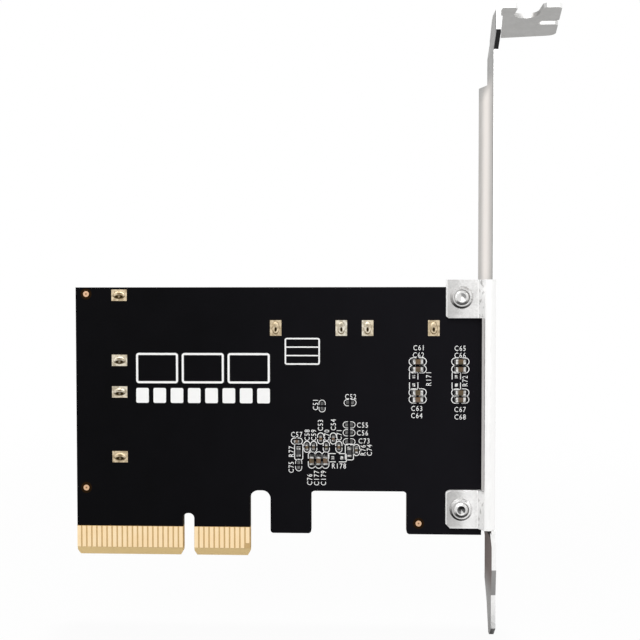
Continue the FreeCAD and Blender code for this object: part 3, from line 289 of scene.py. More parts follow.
class Finish:
    """The nodes of a material or a world, written as expressions on Object coordinates."""

    def __init__(self, name, shader="ShaderNodeBsdfPrincipled", world=False):
        self.block = bpy.data.worlds.new(name) if world else bpy.data.materials.new(name)
        self.block.use_nodes = True
        self.tree = self.block.node_tree
        self.tree.nodes.clear()
        self.shader = self.tree.nodes.new(shader)
        end = self.tree.nodes.new("ShaderNodeOutputWorld" if world else "ShaderNodeOutputMaterial")
        self.tree.links.new(self.shader.outputs[0], end.inputs["Surface"])

    def set(self, made, sockets):
        """Give a node's sockets their links or values."""
        for key, value in sockets.items():
            if isinstance(value, Wire):
                self.tree.links.new(value.socket, made.inputs[key])
            else:
                made.inputs[key].default_value = value

    def node(self, kind, settings=None, sockets=None, output=0):
        """Any node: its settings first, then its sockets' values or links; gives one output."""
        made = self.tree.nodes.new(kind)
        for name, value in (settings or {}).items():
            setattr(made, name, value)
        self.set(made, sockets or {})
        return Wire(self, made.outputs[output])

    def place(self, scale=(1, 1, 1)):
        """Object coordinates, stretched by a scale along each axis."""
        spot = self.node("ShaderNodeTexCoord", output="Object")
        return self.node("ShaderNodeMapping", None, {"Vector": spot, "Scale": scale})

    def axes(self, vector):
        """The X, Y and Z of a vector."""
        first = self.node("ShaderNodeSeparateXYZ", None, {0: vector})
        return [Wire(self, out) for out in first.socket.node.outputs]

    def turned(self):
        """How far the surface is turned towards +X, +Y and +Z, each from -1 to 1."""
        return self.axes(self.node("ShaderNodeTexCoord", output="Normal"))

    def facing(self):
        """How far the surface is turned along X, Y and Z either way, each from 0 to 1."""
        return [abs(part) for part in self.turned()]

    def rays(self):
        """1 for camera rays, for reflections and for clear rays, as three values."""
        path = self.node("ShaderNodeLightPath").socket.node.outputs
        kinds = ("Is Camera Ray", "Is Glossy Ray", "Is Transmission Ray")
        return [Wire(self, path[kind]) for kind in kinds]

    def speckle(self, grain, scale=(1, 1, 1), detail=3.0, rough=0.55):
        """Noise from 0 to 1 with a grain in millimetres."""
        look = {"Scale": 1 / (grain * MM), "Detail": detail, "Roughness": rough}
        return self.node("ShaderNodeTexNoise", None, {"Vector": self.place(scale), **look})

    def wave(self, value, pitch):
        """A sine that repeats over a pitch in millimetres."""
        turn = value * (2 * math.pi / (pitch * MM))
        return turn.join("SINE", turn, 0)

    def ease(self, value, low, high):
        """0 below low, 1 above high, and a smooth step between."""
        sockets = {"Value": value, "From Min": low, "From Max": high}
        return self.node("ShaderNodeMapRange", {"interpolation_type": "SMOOTHSTEP"}, sockets)

    def past(self, value, low, high):
        """0 up to low millimetres and 1 from high on."""
        return self.ease(value, low * MM, high * MM)

    def before(self, value, low, high):
        """1 up to low millimetres and 0 from high on."""
        return 1 - self.past(value, low, high)

    def band(self, value, low, high, soft):
        """1 from low to high in millimetres, with soft ends."""
        return self.past(value, low, low + soft) * self.before(value, high - soft, high)

    def distance(self, across, upward):
        """Length of a flat offset."""
        square = across * across + upward * upward
        return square.join("SQRT", square, 0)

    def away(self, node):
        """Distances from the middles (X, Z) of a node's solids."""
        x, _, z = self.axes(self.place())
        return [self.distance(x - spot[0], z - spot[1]) for spot in middles(node) * MM]

    def near_screws(self, low, high):
        """1 from low to high in millimetres away from the axes of the two bracket screws."""
        away = self.away("upper_bracket_screw") + self.away("lower_bracket_screw")
        return sum(self.band(gap, low, high, 0.05) for gap in away)

    def downward(self):
        """1 on sloped faces that are turned down, 0 on level, upright and rising ones."""
        _, turned_y, turned_z = self.turned()
        return self.ease(turned_z * -1, 0.2, 0.5) * self.ease(abs(turned_y), 0.2, 0.4)

    def mix(self, share, low, high):
        """A colour between low and high."""
        sockets = {0: share}
        for key, colour in ((6, low), (7, high)):
            sockets[key] = colour if isinstance(colour, Wire) else (*colour, 1.0)
        return self.node("ShaderNodeMix", {"data_type": "RGBA"}, sockets, output=2)

    def paint(self, colour, layers):
        """Colours laid over a first one in turn, each by its share."""
        for share, tone in layers:
            colour = self.mix(share, colour, tone)
        return colour

    def surface(self, relief, depth, **sockets):
        """Set the shader's sockets; relief is a height from 0 to 1 worth depth millimetres."""
        bump = {"Height": relief, "Distance": depth * MM, "Strength": 1.0}
        named = {key.replace("_", " "): value for key, value in sockets.items()}
        named["Normal"] = self.node("ShaderNodeBump", None, bump)
        self.set(self.shader, named)
        return self.block


def solder_mask():
    """Black mask with a faint weave, paler towards the bracket and over copper, brown round the marks, with
    bare laminate between the fingers and layered cut edges."""
    finish = Finish("black_solder_mask")
    x, y, z = finish.axes(finish.place())
    finger_low, finger_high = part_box("edge_fingers_solder_side")
    board_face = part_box("circuit_board")[1].y
    bare = (z < finger_high.z + 0.05 * MM) * (x < finger_high.x + 0.6 * MM)
    bevel = finish.past(finger_low.z - z, -0.02, 0.1) * bare
    cut = 1 - finish.ease(finish.facing()[1], 0.5, 0.7)
    copper = finish.past(abs(y) - board_face, 0.010, 0.028)
    # Paler towards the bracket, a smooth tone across the whole board.
    towards_bracket = finish.past(x, -15, 60)
    ring = sum(finish.band(gap, -1, 1.15, 0.2) for gap in finish.away("fiducial_marks"))
    cloud = finish.speckle(6.0)
    fibre = finish.speckle(0.12, (1, 0.2, 1))
    peel = finish.speckle(0.5, detail=2.0)
    weave = finish.wave(x, 0.55) * finish.wave(z, 0.45)
    plies = finish.wave(y, 0.2) * 0.25 + fibre * 0.6
    ink = finish.mix(cloud * 0.3 + towards_bracket * 0.7, (0.0014, 0.0014, 0.0018), (0.0072, 0.0068, 0.0090))
    colour = finish.paint(ink, [
        (cut, finish.mix(plies, (0.030, 0.024, 0.016), (0.095, 0.075, 0.042))),
        (ring * (1 - cut) * (y < 0), (0.016, 0.007, 0.0012)),
        (copper, (0.0200, 0.0205, 0.0225)),
        (bare, finish.mix(fibre, (0.58, 0.39, 0.17), (0.70, 0.48, 0.23))),
        (bevel, finish.mix(fibre, (0.78, 0.55, 0.25), (0.95, 0.73, 0.38))),
    ])
    height = peel * 0.6 + weave * 0.12 + fibre * bare * 0.5
    gloss = 0.36 + cloud * 0.08 + cut * 0.3 + bare * 0.15
    return finish.surface(height, 0.006, Base_Color=colour, Roughness=gloss, Specular_IOR_Level=0.035)


def plated_gold():
    """Pale gold plating: fingers drawn along Z by wiping contacts, and above them pads in cream, stained by
    flux, with painted shade on faces turned down and a painted shadow for the dark hole beside each board
    lock, and marks the colour of copper."""
    finish = Finish("pale_gold_plating")
    x, _, z = finish.axes(finish.place())
    wipe = finish.speckle(0.16, (1, 1, 0.06))
    cloud = finish.speckle(2.5)
    smudge = finish.ease(finish.speckle(0.7, detail=4.0, rough=0.6), 0.38, 0.62)
    pad = finish.past(z, 7, 9)
    clean = finish.band(x, 25, 38, 6) + (x < 0) * finish.band(z, 29, 41, 3) * 0.7
    # Painted shade on faces turned down.
    underside_shade = finish.ease(finish.turned()[2] * -1, 0.08, 0.28)
    # A painted shadow a little below each pad's middle stands for the hole beside the board lock.
    drop = 0.28
    hole = 0
    for low, high in boxes("board_lock_pads_solder_side"):
        middle, span = (low + high) / 2, high - low
        across, upward = x - middle[0] * MM, z - (middle[2] - drop) * MM
        if span[0] > span[2]:
            away = finish.distance(across * 0.35, upward * 0.95)
            fork = 0.86 + finish.past(abs(across), 0.05, 0.3) * 0.14
        else:
            away = finish.distance(across * 1.3, upward * 0.7)
            fork = 1
        hole = hole + finish.before(away, 0.22, 0.42) * fork
    bright = finish.mix(smudge, (0.46, 0.42, 0.33), (0.80, 0.76, 0.66))
    stained = finish.mix(smudge, (0.40, 0.315, 0.20), (0.70, 0.58, 0.40))
    cream = finish.paint(bright, [
        (1 - clean, stained),
        (underside_shade * 0.8, (0.19, 0.125, 0.055)),
        (hole, (0.016, 0.009, 0.001)),
    ])
    layers = [(pad, cream)]
    for gap in finish.away("fiducial_marks"):
        copper = finish.mix(finish.past(gap, 0.08, 0.26), (0.24, 0.13, 0.06), (0.70, 0.45, 0.28))
        layers.append((finish.band(gap, -1, 0.8, 0.1), copper))
    colour = finish.paint(finish.mix(cloud, (0.96, 0.71, 0.40), (1.0, 0.81, 0.54)), layers)
    gloss = 0.28 + wipe * 0.16
    return finish.surface(wipe, 0.004, Base_Color=colour, Metallic=1.0, Roughness=gloss)


def bracket_steel():
    """Nickel-plated sheet with a granular satin and real scuffs on the folds, and much painted light:
    painted highlights on the front edges, the bend, the folds and the hems, a painted reflection band down
    the plate's inner face, painted shade on the tabs, the inner face, the neck, the screw tab and the
    tongue, painted shadow under the collars and the flange, and a painted dark reflection at the jog."""
    finish = Finish("satin_nickel_sheet")
    x, y, z = finish.axes(finish.place())
    outward = finish.turned()[0]
    _, turned_y, turned_z = finish.facing()
    frontal = finish.ease(turned_y, 0.35, 0.65)
    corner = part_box("slot_bracket")[0]
    grain = finish.speckle(0.22, (1, 1, 0.08), detail=4.0)
    pits = finish.ease(finish.speckle(0.36, detail=5.0, rough=0.7), 0.34, 0.66)
    cloud = finish.ease(finish.speckle(3.0, detail=4.0), 0.35, 0.65)
    patch = finish.ease(finish.speckle(0.7, (1, 1, 0.6), detail=4.0), 0.52, 0.64)

    # Mounting tabs, from their free end to the crest of the fold, and the collars in them. On the tabs:
    # painted highlights on the hem, the fold and its crest, a painted sheen on the lower tab that is toned
    # down on the upper one, and painted shade towards the free ends; the scuffs are real.
    along = x - corner.x
    hem = finish.before(along, 0.15, 0.35)
    # Painted shade towards the tabs' free ends, and a painted sheen across them.
    shaded = finish.before(along, 0.4, 4.9) * (1 - hem)
    painted_sheen = finish.band(along, 2.4, 6.4, 1.5)
    fold = finish.band(along, 5.85, 7.7, 0.15)
    crest = finish.band(along, 7.05, 7.9, 0.15)
    scuff = finish.band(along, 6, 7.4, 0.3) * patch
    upper = finish.past(z, 25, 35)
    collar = finish.near_screws(1.55, 2.3)
    # Painted shadow on the collars' faces that are turned down.
    rim = collar * finish.downward()

    # Plate, across from its edge on the solder side and up from the tongue to the screw tab.
    across = y - corner.y
    inner = finish.ease(outward * -1, 0.5, 0.8) * (1 - fold)
    outer = finish.ease(outward, 0.5, 0.8)
    # Painted highlight on the bend near the edge on the solder side.
    bend = finish.ease(outward, 0.1, 0.3) * finish.before(across, 0.74, 1.54)
    tongue = finish.before(z, 5.6, 6.6) * finish.before(across, 10.04, 10.34)
    # Painted shade on the tongue's inner face, brownish and darker towards its top.
    lower = finish.before(z, -9, -2)
    # Painted shadow across the tongue's root, under the flange.
    step = finish.band(z, 4.2, 5.6, 0.3)
    # Painted shadow of the card low on the plate's inner face.
    beside = finish.before(z, 48, 56)
    # Painted shade on the neck's inner face.
    neck = finish.past(z, 89, 94)
    # A painted reflection band down the plate's inner face, toned down low beside the card.
    painted_reflection_band = finish.band(across, 0.84, 16.34, 7) * inner * (1 - neck) * (1 - beside * 0.7)
    # Painted shade along the inner face near the edge on the solder side.
    free_edge = inner * finish.before(across, 0.74, 1.14) * (1 - tongue)
    # Painted highlight on faces turned to the front: near the solder side's edge and all over the tongue.
    front = frontal * (1 - (1 - tongue) * finish.past(across, 0.34, 0.74))
    # Painted shade on the screw tab's level faces.
    screw_tab = finish.ease(turned_z, 0.5, 0.8) * finish.past(z, 98, 100)
    # Painted dark reflection on faces turned to the front, across the jog near the top.
    painted_dark_reflection = frontal * finish.band(z, 96.1, 100, 0.2)
    # Painted shade on faces turned to the front, in two bands low on the tongue.
    shaded_edge_bands = frontal * (finish.band(z, -7, -1.8, 0.2) + finish.before(z, -13.6, -13.2))

    satin = finish.mix(cloud * 0.4 + pits * 0.6, (0.55, 0.545, 0.535), (0.84, 0.835, 0.825))
    # Tone of the inner face: painted shade, darkest low beside the card.
    inner_shade = finish.mix(beside, (0.405, 0.38, 0.355), (0.24, 0.235, 0.23))
    # Colour of the painted shade on the tongue's inner face.
    tongue_shade = finish.mix(lower, (0.215, 0.178, 0.167), (0.41, 0.405, 0.40))
    # Near-white colour of the painted highlights on the front faces and the bend.
    painted_highlight = (0.97, 0.968, 0.96)
    colour = finish.paint(satin, [
        (outer * 0.6, (0.60, 0.595, 0.585)),
        (shaded * (0.75 - upper * 0.15), (0.40, 0.395, 0.39)),
        (painted_sheen * (0.6 - upper * 0.6), (0.94, 0.935, 0.93)),
        (painted_sheen * upper * 0.4, (0.62, 0.615, 0.61)),
        (inner * 0.85, inner_shade),
        (painted_reflection_band * 0.95, (0.90, 0.845, 0.80)),
        (neck * inner * 0.9, (0.30, 0.297, 0.29)),
        (screw_tab * 0.85, (0.36, 0.355, 0.345)),
        (fold * 0.8, (0.94, 0.935, 0.93)),
        (crest * 0.8 + hem * 0.9, (0.96, 0.955, 0.945)),
        (scuff * 0.7, (0.30, 0.295, 0.285)),
        (rim * 0.9, (0.025, 0.024, 0.023)),
        (front * 0.85, painted_highlight),
        (bend * 0.9, painted_highlight),
        (tongue * inner, tongue_shade),
        (tongue * inner * step, (0.014, 0.011, 0.009)),
        (free_edge * 0.8, (0.16, 0.16, 0.16)),
        (shaded_edge_bands * 0.8, (0.19, 0.185, 0.18)),
        (painted_dark_reflection, (0.012, 0.012, 0.012)),
    ])
    gloss = 0.32 + cloud * 0.08 + pits * 0.12 + scuff * 0.15 - collar * 0.12 + tongue * inner * 0.5
    # Less metal on the painted highlights of the folds, crests and hems.
    chrome = 1 - fold * 0.6 - crest * 0.2 - hem * 0.8
    height = grain * 0.25 + pits * 0.75
    return finish.surface(height, 0.012, Base_Color=colour, Metallic=chrome, Roughness=gloss)


def screw_steel():
    """Bright plated steel with dull flecks, and painted shade on edges that face down, in its dimple and in
    its recess.
    """
    finish = Finish("bright_plated_screw")
    _, y, z = finish.axes(finish.place())
    turned_x, _, turned_z = finish.turned()
    upper_low, upper_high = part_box("upper_bracket_screw")
    fleck = finish.speckle(0.35, detail=5.0, rough=0.65)
    depth = upper_high.y - y
    recess_shade = finish.near_screws(-1, 1.7) * finish.before(depth, 1.1, 1.2) * finish.past(depth, 0.10, 0.25)
    dimple_shade = finish.near_screws(-1, 0.8) * (z < upper_low.z) * (y < 0)
    dimple_wall_shade = finish.near_screws(0.2, 0.85) * finish.ease((turned_x + turned_z) * -0.7, 0.02, 0.14)
    # Painted shade on faces turned down, on the dimple's wall, in the lower screw's dimple and in the recess
    # round the end.
    colour = finish.paint(finish.mix(fleck, (0.62, 0.615, 0.605), (0.84, 0.835, 0.825)), [
        (finish.downward() * 0.85, (0.03, 0.03, 0.03)),
        (dimple_wall_shade * 0.7, (0.12, 0.12, 0.12)),
        (dimple_shade * 0.8, (0.05, 0.05, 0.05)),
        (recess_shade * 0.9, (0.04, 0.04, 0.04)),
    ])
    return finish.surface(fleck, 0.012, Base_Color=colour, Metallic=1.0, Roughness=0.14 + fleck * 0.16)


def port_plastic():
    """Black glass-filled moulding, faintly rough, with flow marks."""
    finish = Finish("black_port_moulding")
    grit = finish.speckle(0.09, detail=4.0, rough=0.65)
    flow = finish.speckle(2.2, (1, 0.35, 1))
    colour = finish.mix(flow, (0.0075, 0.0075, 0.0080), (0.0135, 0.0135, 0.0145))
    gloss = 0.38 + flow * 0.14
    return finish.surface(grit, 0.012, Base_Color=colour, Roughness=gloss, Specular_IOR_Level=0.38)


def contact_gold():
    """Gold flash on the springs, bright tin on their soldered feet."""
    finish = Finish("contact_gold_flash")
    y = finish.axes(finish.place())[1]
    foot = finish.before(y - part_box("circuit_board")[1].y, 0.35, 0.9)
    cloud = finish.speckle(0.8)
    gold = finish.mix(cloud, (0.86, 0.60, 0.25), (0.95, 0.72, 0.36))
    colour = finish.mix(foot, gold, (0.76, 0.76, 0.75))
    return finish.surface(cloud, 0.004, Base_Color=colour, Metallic=1.0, Roughness=0.20 + cloud * 0.14)


def tinned_metal():
    """Tin with a fine crystal grain: bright on the large parts, blotchy on the small ones and the bare pads
    of the solder side, oxidised on the pads round its middle, with painted shade on steep solder."""
    finish = Finish("bright_tin")
    x, y, z = finish.axes(finish.place())
    pad_low, pad_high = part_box("spare_pads")
    small_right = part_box("bypass_capacitors_ends")[1].x
    crystal = finish.speckle(0.22, detail=4.0, rough=0.6)
    blotch = finish.ease(finish.speckle(0.35), 0.40, 0.60)
    bare = (y > pad_low.y - 0.005 * MM) * (y < pad_high.y)
    small = (y < pad_high.y) * (x < small_right + 1.0 * MM)
    oxide = finish.band(z, 21.5, 31, 0.3) + finish.band(z, 16.8, 18.75, 0.1)
    # Painted shade on steep solder of the solder side.
    steep_shade = (1 - finish.ease(finish.facing()[1], 0.72, 0.92)) * (y < 0)
    dull = (0.20, 0.20, 0.195)
    colour = finish.paint(finish.mix(crystal, (0.72, 0.715, 0.70), (0.88, 0.88, 0.87)), [
        ((1 - blotch) * (y < 0) * 0.8, (0.22, 0.22, 0.215)),
        (small, finish.mix(blotch, dull, (0.66, 0.655, 0.64))),
        (bare, finish.mix(blotch, dull, (0.80, 0.795, 0.78))),
        (bare * oxide * 0.85, (0.06, 0.06, 0.06)),
        (steep_shade * 0.85, (0.05, 0.05, 0.05)),
    ])
    return finish.surface(crystal, 0.010, Base_Color=colour, Metallic=1.0, Roughness=0.20 + crystal * 0.18)


def chip_mould():
    """Black moulding compound, sandy matt, with a polished pin-one dimple on the controller."""
    finish = Finish("black_moulding_compound")
    x, _, z = finish.axes(finish.place())
    corner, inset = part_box("controller_chip")[1], 1.2 * MM
    away = finish.distance(x - (corner.x - inset), z - (corner.z - inset))
    dimple = finish.before(away, 0.36, 0.44)
    sand = finish.speckle(0.07, detail=4.0, rough=0.7)
    cloud = finish.speckle(1.6)
    colour = finish.mix(cloud * 0.6 + sand * 0.4, (0.016, 0.016, 0.017), (0.030, 0.030, 0.032))
    colour = finish.mix(dimple * 0.7, colour, (0.075, 0.075, 0.078))
    return finish.surface(sand * (1 - dimple), 0.008, Base_Color=colour, Roughness=0.58 - dimple * 0.25)


def capacitor_ceramic():
    """Tan sintered ceramic, each part a little different in tone: olive, orange brown or pinkish."""
    finish = Finish("tan_capacitor_ceramic")
    grain = finish.speckle(0.06)
    batch = finish.ease(finish.speckle(1.9, detail=1.0), 0.35, 0.65)
    fired = finish.ease(finish.speckle(1.3, detail=1.0), 0.50, 0.62)
    colour = finish.paint(finish.mix(batch, (0.055, 0.048, 0.024), (0.165, 0.100, 0.052)), [
        (fired * 0.6, (0.17, 0.115, 0.095)),
        (grain * 0.3, (0.10, 0.075, 0.045)),
    ])
    gloss = 0.42 + grain * 0.12
    return finish.surface(grain, 0.004, Base_Color=colour, Roughness=gloss, Specular_IOR_Level=0.25)


def resistor_film():
    """Glazed dark overcoat, uneven and a little glossy."""
    finish = Finish("dark_resistor_glaze")
    glaze = finish.speckle(0.3)
    colour = finish.mix(glaze, (0.010, 0.010, 0.012), (0.035, 0.034, 0.036))
    return finish.surface(glaze, 0.010, Base_Color=colour, Roughness=0.25 + glaze * 0.2)


def crystal_ceramic():
    """Dark fired ceramic with a fine grain."""
    finish = Finish("dark_crystal_ceramic")
    grain = finish.speckle(0.1, detail=4.0)
    colour = finish.mix(grain, (0.06, 0.052, 0.045), (0.15, 0.135, 0.12))
    return finish.surface(grain, 0.006, Base_Color=colour, Roughness=0.55 + grain * 0.1)


def ferrite():
    """Grey pressed powder, grainy and matt."""
    finish = Finish("grey_pressed_ferrite")
    powder = finish.speckle(0.13, detail=5.0, rough=0.7)
    colour = finish.mix(powder, (0.055, 0.055, 0.058), (0.15, 0.15, 0.155))
    return finish.surface(powder, 0.015, Base_Color=colour, Roughness=0.6 + powder * 0.2)


def legend_ink():
    """White screen-printed ink, slightly uneven."""
    finish = Finish("white_legend_ink")
    mesh = finish.speckle(0.1, detail=2.0)
    cloud = finish.speckle(1.5)
    colour = finish.mix(mesh * 0.5 + cloud * 0.5, (0.88, 0.88, 0.87), (0.97, 0.97, 0.96))
    return finish.surface(mesh, 0.006, Base_Color=colour, Roughness=0.5 + mesh * 0.15)


# Each maker is named after the material slot that it is for.
MAKERS = (solder_mask, plated_gold, bracket_steel, screw_steel, port_plastic, contact_gold, tinned_metal,
          chip_mould, capacitor_ceramic, resistor_film, crystal_ceramic, ferrite)
SLOT_FINISHES = {maker.__name__: maker() for maker in MAKERS}
INK_FINISH = legend_ink()

for row in frame["record"]["subparts"]:
    materials = frame["nodes"][row["node"]].data.materials
    materials.clear()
    materials.append(SLOT_FINISHES[row["material_slot"]])


def on_board(flat, side):
    """Board places (X, Z, height above the face) as places in the frame, in millimetres."""
    low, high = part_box("circuit_board")
    face = (low.y if side == SOLDER else high.y) / MM
    return np.stack([flat[..., 0], face + side * flat[..., 2], flat[..., 1]], -1)


def put(name, data):
    """A new object in the scene."""
    made = bpy.data.objects.new(name, data)
    bpy.context.scene.collection.objects.link(made)
    return made


class Heap:
    """Closed shapes gathered for one mesh: corner arrays and the faces between them."""

    def __init__(self):
        self.corners = []
        self.faces = []
        self.count = 0

    def add(self, corners, faces):
        corners = corners.reshape(-1, 3)
        self.faces += [[self.count + index for index in face] for face in faces]
        self.corners.append(corners)
        self.count += len(corners)

    def piece(self, name, slot=None, smooth=False):
        """The mesh in metres, its faces turned outwards, riding on the card; it is ink if it has no slot."""
        mesh = bpy.data.meshes.new(name)
        mesh.from_pydata(np.concatenate(self.corners) * MM, [], self.faces)
        shell = bmesh.new()
        shell.from_mesh(mesh)
        bmesh.ops.recalc_face_normals(shell, faces=shell.faces)
        shell.to_mesh(mesh)
        shell.free()
        mesh.polygons.foreach_set("use_smooth", np.full(len(mesh.polygons), smooth))
        mesh.materials.append(SLOT_FINISHES[slot] if slot else INK_FINISH)
        made = put(name, mesh)
        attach(made, "root")


def ring_faces(rows, columns, close_rows):
    """Quads of a grid whose columns close on themselves, with its end rows joined or capped."""
    index = np.arange(rows * columns).reshape(rows, columns)
    ahead = np.roll(index, -1, 0) if close_rows else index[1:]
    here = index if close_rows else index[:-1]
    quads = np.stack([here, ahead, np.roll(ahead, -1, 1), np.roll(here, -1, 1)], -1)
    faces = quads.reshape(-1, 4).tolist()
    if not close_rows:
        faces += [index[0].tolist(), index[-1][::-1].tolist()]
    return faces


def circle(count):
    """Points of a circle of radius 1."""
    turn = np.arange(count) * 2 * math.pi / count
    return np.column_stack([np.cos(turn), np.sin(turn)])


def stack(heap, side, levels):
    """A closed shape of flat rings with equal counts, each at its height, capped at both ends."""
    rings = [np.column_stack([ring, np.full(len(ring), height)]) for ring, height in levels]
    heap.add(on_board(np.array(rings), side), ring_faces(len(rings), len(rings[0]), False))


def carry(heap, side, path, profile, closed=False):
    """A profile (across, height) carried along a flat path, whose doubled points are dropped: corner =
    point + mitre * across, where mitre is the mean of the two sides' normals over the cosine of half
    their turn."""
    path = np.asarray(path, float)
    profile = np.asarray(profile, float)
    path = path[np.linalg.norm(np.roll(path, -1, 0) - path, axis=1) > SAME_POINT]
    step = np.roll(path, -1, 0) - path
    step /= np.linalg.norm(step, axis=1, keepdims=True)
    before = np.roll(step, 1, 0)
    if not closed:
        before[0] = step[0]
        step[-1] = before[-1]
    normal = np.stack([-(before + step)[:, 1], (before + step)[:, 0]], 1)
    mitre = 2 * normal / (normal ** 2).sum(1, keepdims=True)
    flat = path[:, None] + mitre[:, None] * profile[None, :, :1]
    height = np.broadcast_to(profile[None, :, 1:], (*flat.shape[:2], 1))
    faces = ring_faces(len(path), len(profile), closed)
    heap.add(on_board(np.concatenate([flat, height], -1), side), faces)


def print_line(heap, side, path, width, closed=False):
    """A printed line along a path: flat on top, thin, its foot just inside the mask."""
    half = width / 2
    top = half * FLAT_SHARE
    carry(heap, side, path, [(-half, SUNK), (-top, INK), (top, INK), (half, SUNK)], closed)


def arc(centre, radius, start, stop, count=7):
    """Points of an arc between two angles in degrees."""
    turn = np.radians(np.linspace(start, stop, count))
    return [(centre[0] + radius * math.cos(t), centre[1] + radius * math.sin(t)) for t in turn]


def rounded_box(left, low, right, high, radius):
    """Closed path round a box: four quarter arcs."""
    left, low, right, high = left + radius, low + radius, right - radius, high - radius
    path = arc((right, high), radius, 90, 0) + arc((right, low), radius, 0, -90)
    return path + arc((left, low), radius, -90, -180) + arc((left, high), radius, 180, 90)


def half_outline(length, width, radius, gap):
    """Right half of an outline, open at the middle of its long sides."""
    reach, side = length / 2 - radius, width / 2 - radius
    path = [(gap / 2, width / 2)] + arc((reach, side), radius, 90, 0)
    return path + arc((reach, -side), radius, 0, -90) + [(gap / 2, -width / 2)]


def part_outline(heap, side, centre, upright, length, width, radius, gap, line=INK_LINE):
    """Printed outline of a two-terminal part: two facing halves, or one box where the gap is 0."""
    if gap:
        paths = [np.array(half_outline(length, width, radius, gap)) * sign for sign in (1, -1)]
    else:
        paths = [np.array(rounded_box(-length / 2, -width / 2, length / 2, width / 2, radius))]
    for path in paths:
        if upright:
            path = path[:, ::-1] * (1, -1)
        print_line(heap, side, path + centre, line, not gap)


def node_outlines(heap, side, rows):
    """Outlines of a node's parts, each along the line from its body to its nearest end."""
    for node, *shape in rows:
        ends = middles(f"{node}_ends")
        for centre in middles(node):
            away = abs(ends - centre)
            nearest = away[away.sum(1).argmin()]
            part_outline(heap, side, centre, nearest[1] > nearest[0], *shape)


def letters(heap, side, text, centre_x, centre_z, turn):
    """Printed letters: a text made a mesh, centred, brought to its height, turned and laid on the board."""
    curve = bpy.data.curves.new("letters", "FONT")
    curve.body = text
    curve.extrude = INK
    curve.space_character = LETTER_SPACE
    curve.resolution_u = 2
    holder = bpy.data.objects.new("letters", curve)
    mesh = bpy.data.meshes.new_from_object(holder)
    spots = corner_places(mesh)
    faces = [list(face.vertices) for face in mesh.polygons]
    low, high = spots.min(0), spots.max(0)
    flat = (spots - (low + high) / 2) / (high[1] - low[1]) * LETTER
    height = np.where(spots[:, 2] > 0, INK, SUNK)
    spin = math.radians(turn)
    flat[:, 0] *= LETTER_WIDTH
    across = -side * (flat[:, 0] * math.cos(spin) - flat[:, 1] * math.sin(spin))
    upward = flat[:, 0] * math.sin(spin) + flat[:, 1] * math.cos(spin)
    heap.add(on_board(np.stack([centre_x + across, centre_z + upward, height], -1), side), faces)
    bpy.data.objects.remove(holder)
    bpy.data.curves.remove(curve)
    bpy.data.meshes.remove(mesh)


def pairs(node):
    """Centres of a node's equal pads two by two, each with its nearest neighbour."""
    spots = middles(node)
    gaps = np.linalg.norm(spots[:, None] - spots[None], axis=-1)
    np.fill_diagonal(gaps, np.inf)
    return [(spots[i], spots[k]) for i, k in enumerate(gaps.argmin(1)) if i < k]


def split(box, count, gap):
    """Equal boxes in a row across a box, with a gap between neighbours."""
    left, low, right, high = box
    pitch = (right - left + gap) / count
    return [(left + pitch * n, low, left + pitch * (n + 1) - gap, high) for n in range(count)]


def legend_letters(name, side, texts):
    """All letters of one side of the board, as a piece."""
    heap = Heap()
    for row in texts:
        letters(heap, side, *row)
    heap.piece(name)


def solder_side_outlines():
    """Outlines round the fitted parts and the unfitted places of the solder side."""
    heap = Heap()
    node_outlines(heap, SOLDER, SOLDER_OUTLINES)
    for first, second in pairs("spare_pads"):
        pitch = np.abs(second - first).max()
        upright = abs(second[1] - first[1]) > abs(second[0] - first[0])
        extra, *shape = SMALL_SPARE if pitch < LARGE_PITCH else LARGE_SPARE
        part_outline(heap, SOLDER, (first + second) / 2, upright, pitch + extra, *shape)
    heap.piece("legend_outlines_solder_side")


def write_on_fields():
    """A row of cells under a row of boxes, and a ruled field for a stamp."""
    heap = Heap()
    for cell in split(PANEL_CELLS, CELL_COUNT, CELL_GAP):
        path = rounded_box(*cell, CELL_CORNER)
        stack(heap, SOLDER, [(path, SUNK), (path, INK)])
    for box in split(PANEL_BOXES, BOX_COUNT, BOX_GAP):
        inset = np.array(box) + np.array([1, 1, -1, -1]) * PANEL_LINE / 2
        print_line(heap, SOLDER, rounded_box(*inset, BOX_CORNER), PANEL_LINE, True)
    print_line(heap, SOLDER, rounded_box(*STAMP_BOX, STAMP_CORNER), STAMP_LINE, True)
    left, low, right, high = STAMP_BOX
    for level in np.linspace(low, high, STAMP_ROWS + 1)[1:-1]:
        print_line(heap, SOLDER, [(left + RULE_INSET, level), (right - RULE_INSET, level)], RULE_LINE)
    heap.piece("write_on_fields")


def component_side_outlines():
    """Outlines round the small parts, the larger bodies and the ports of the component side."""
    heap = Heap()
    node_outlines(heap, COMPONENT, COMPONENT_OUTLINES)
    for node, margin in BODY_OUTLINES:
        low, high = boxes(node)[0]
        sides = [*(low - margin)[[0, 2]], *(high + margin)[[0, 2]]]
        print_line(heap, COMPONENT, rounded_box(*sides, BODY_CORNER), INK_LINE, True)
    for path in PORT_OUTLINES:
        print_line(heap, COMPONENT, path, INK_LINE)
    heap.piece("legend_outlines_component_side")


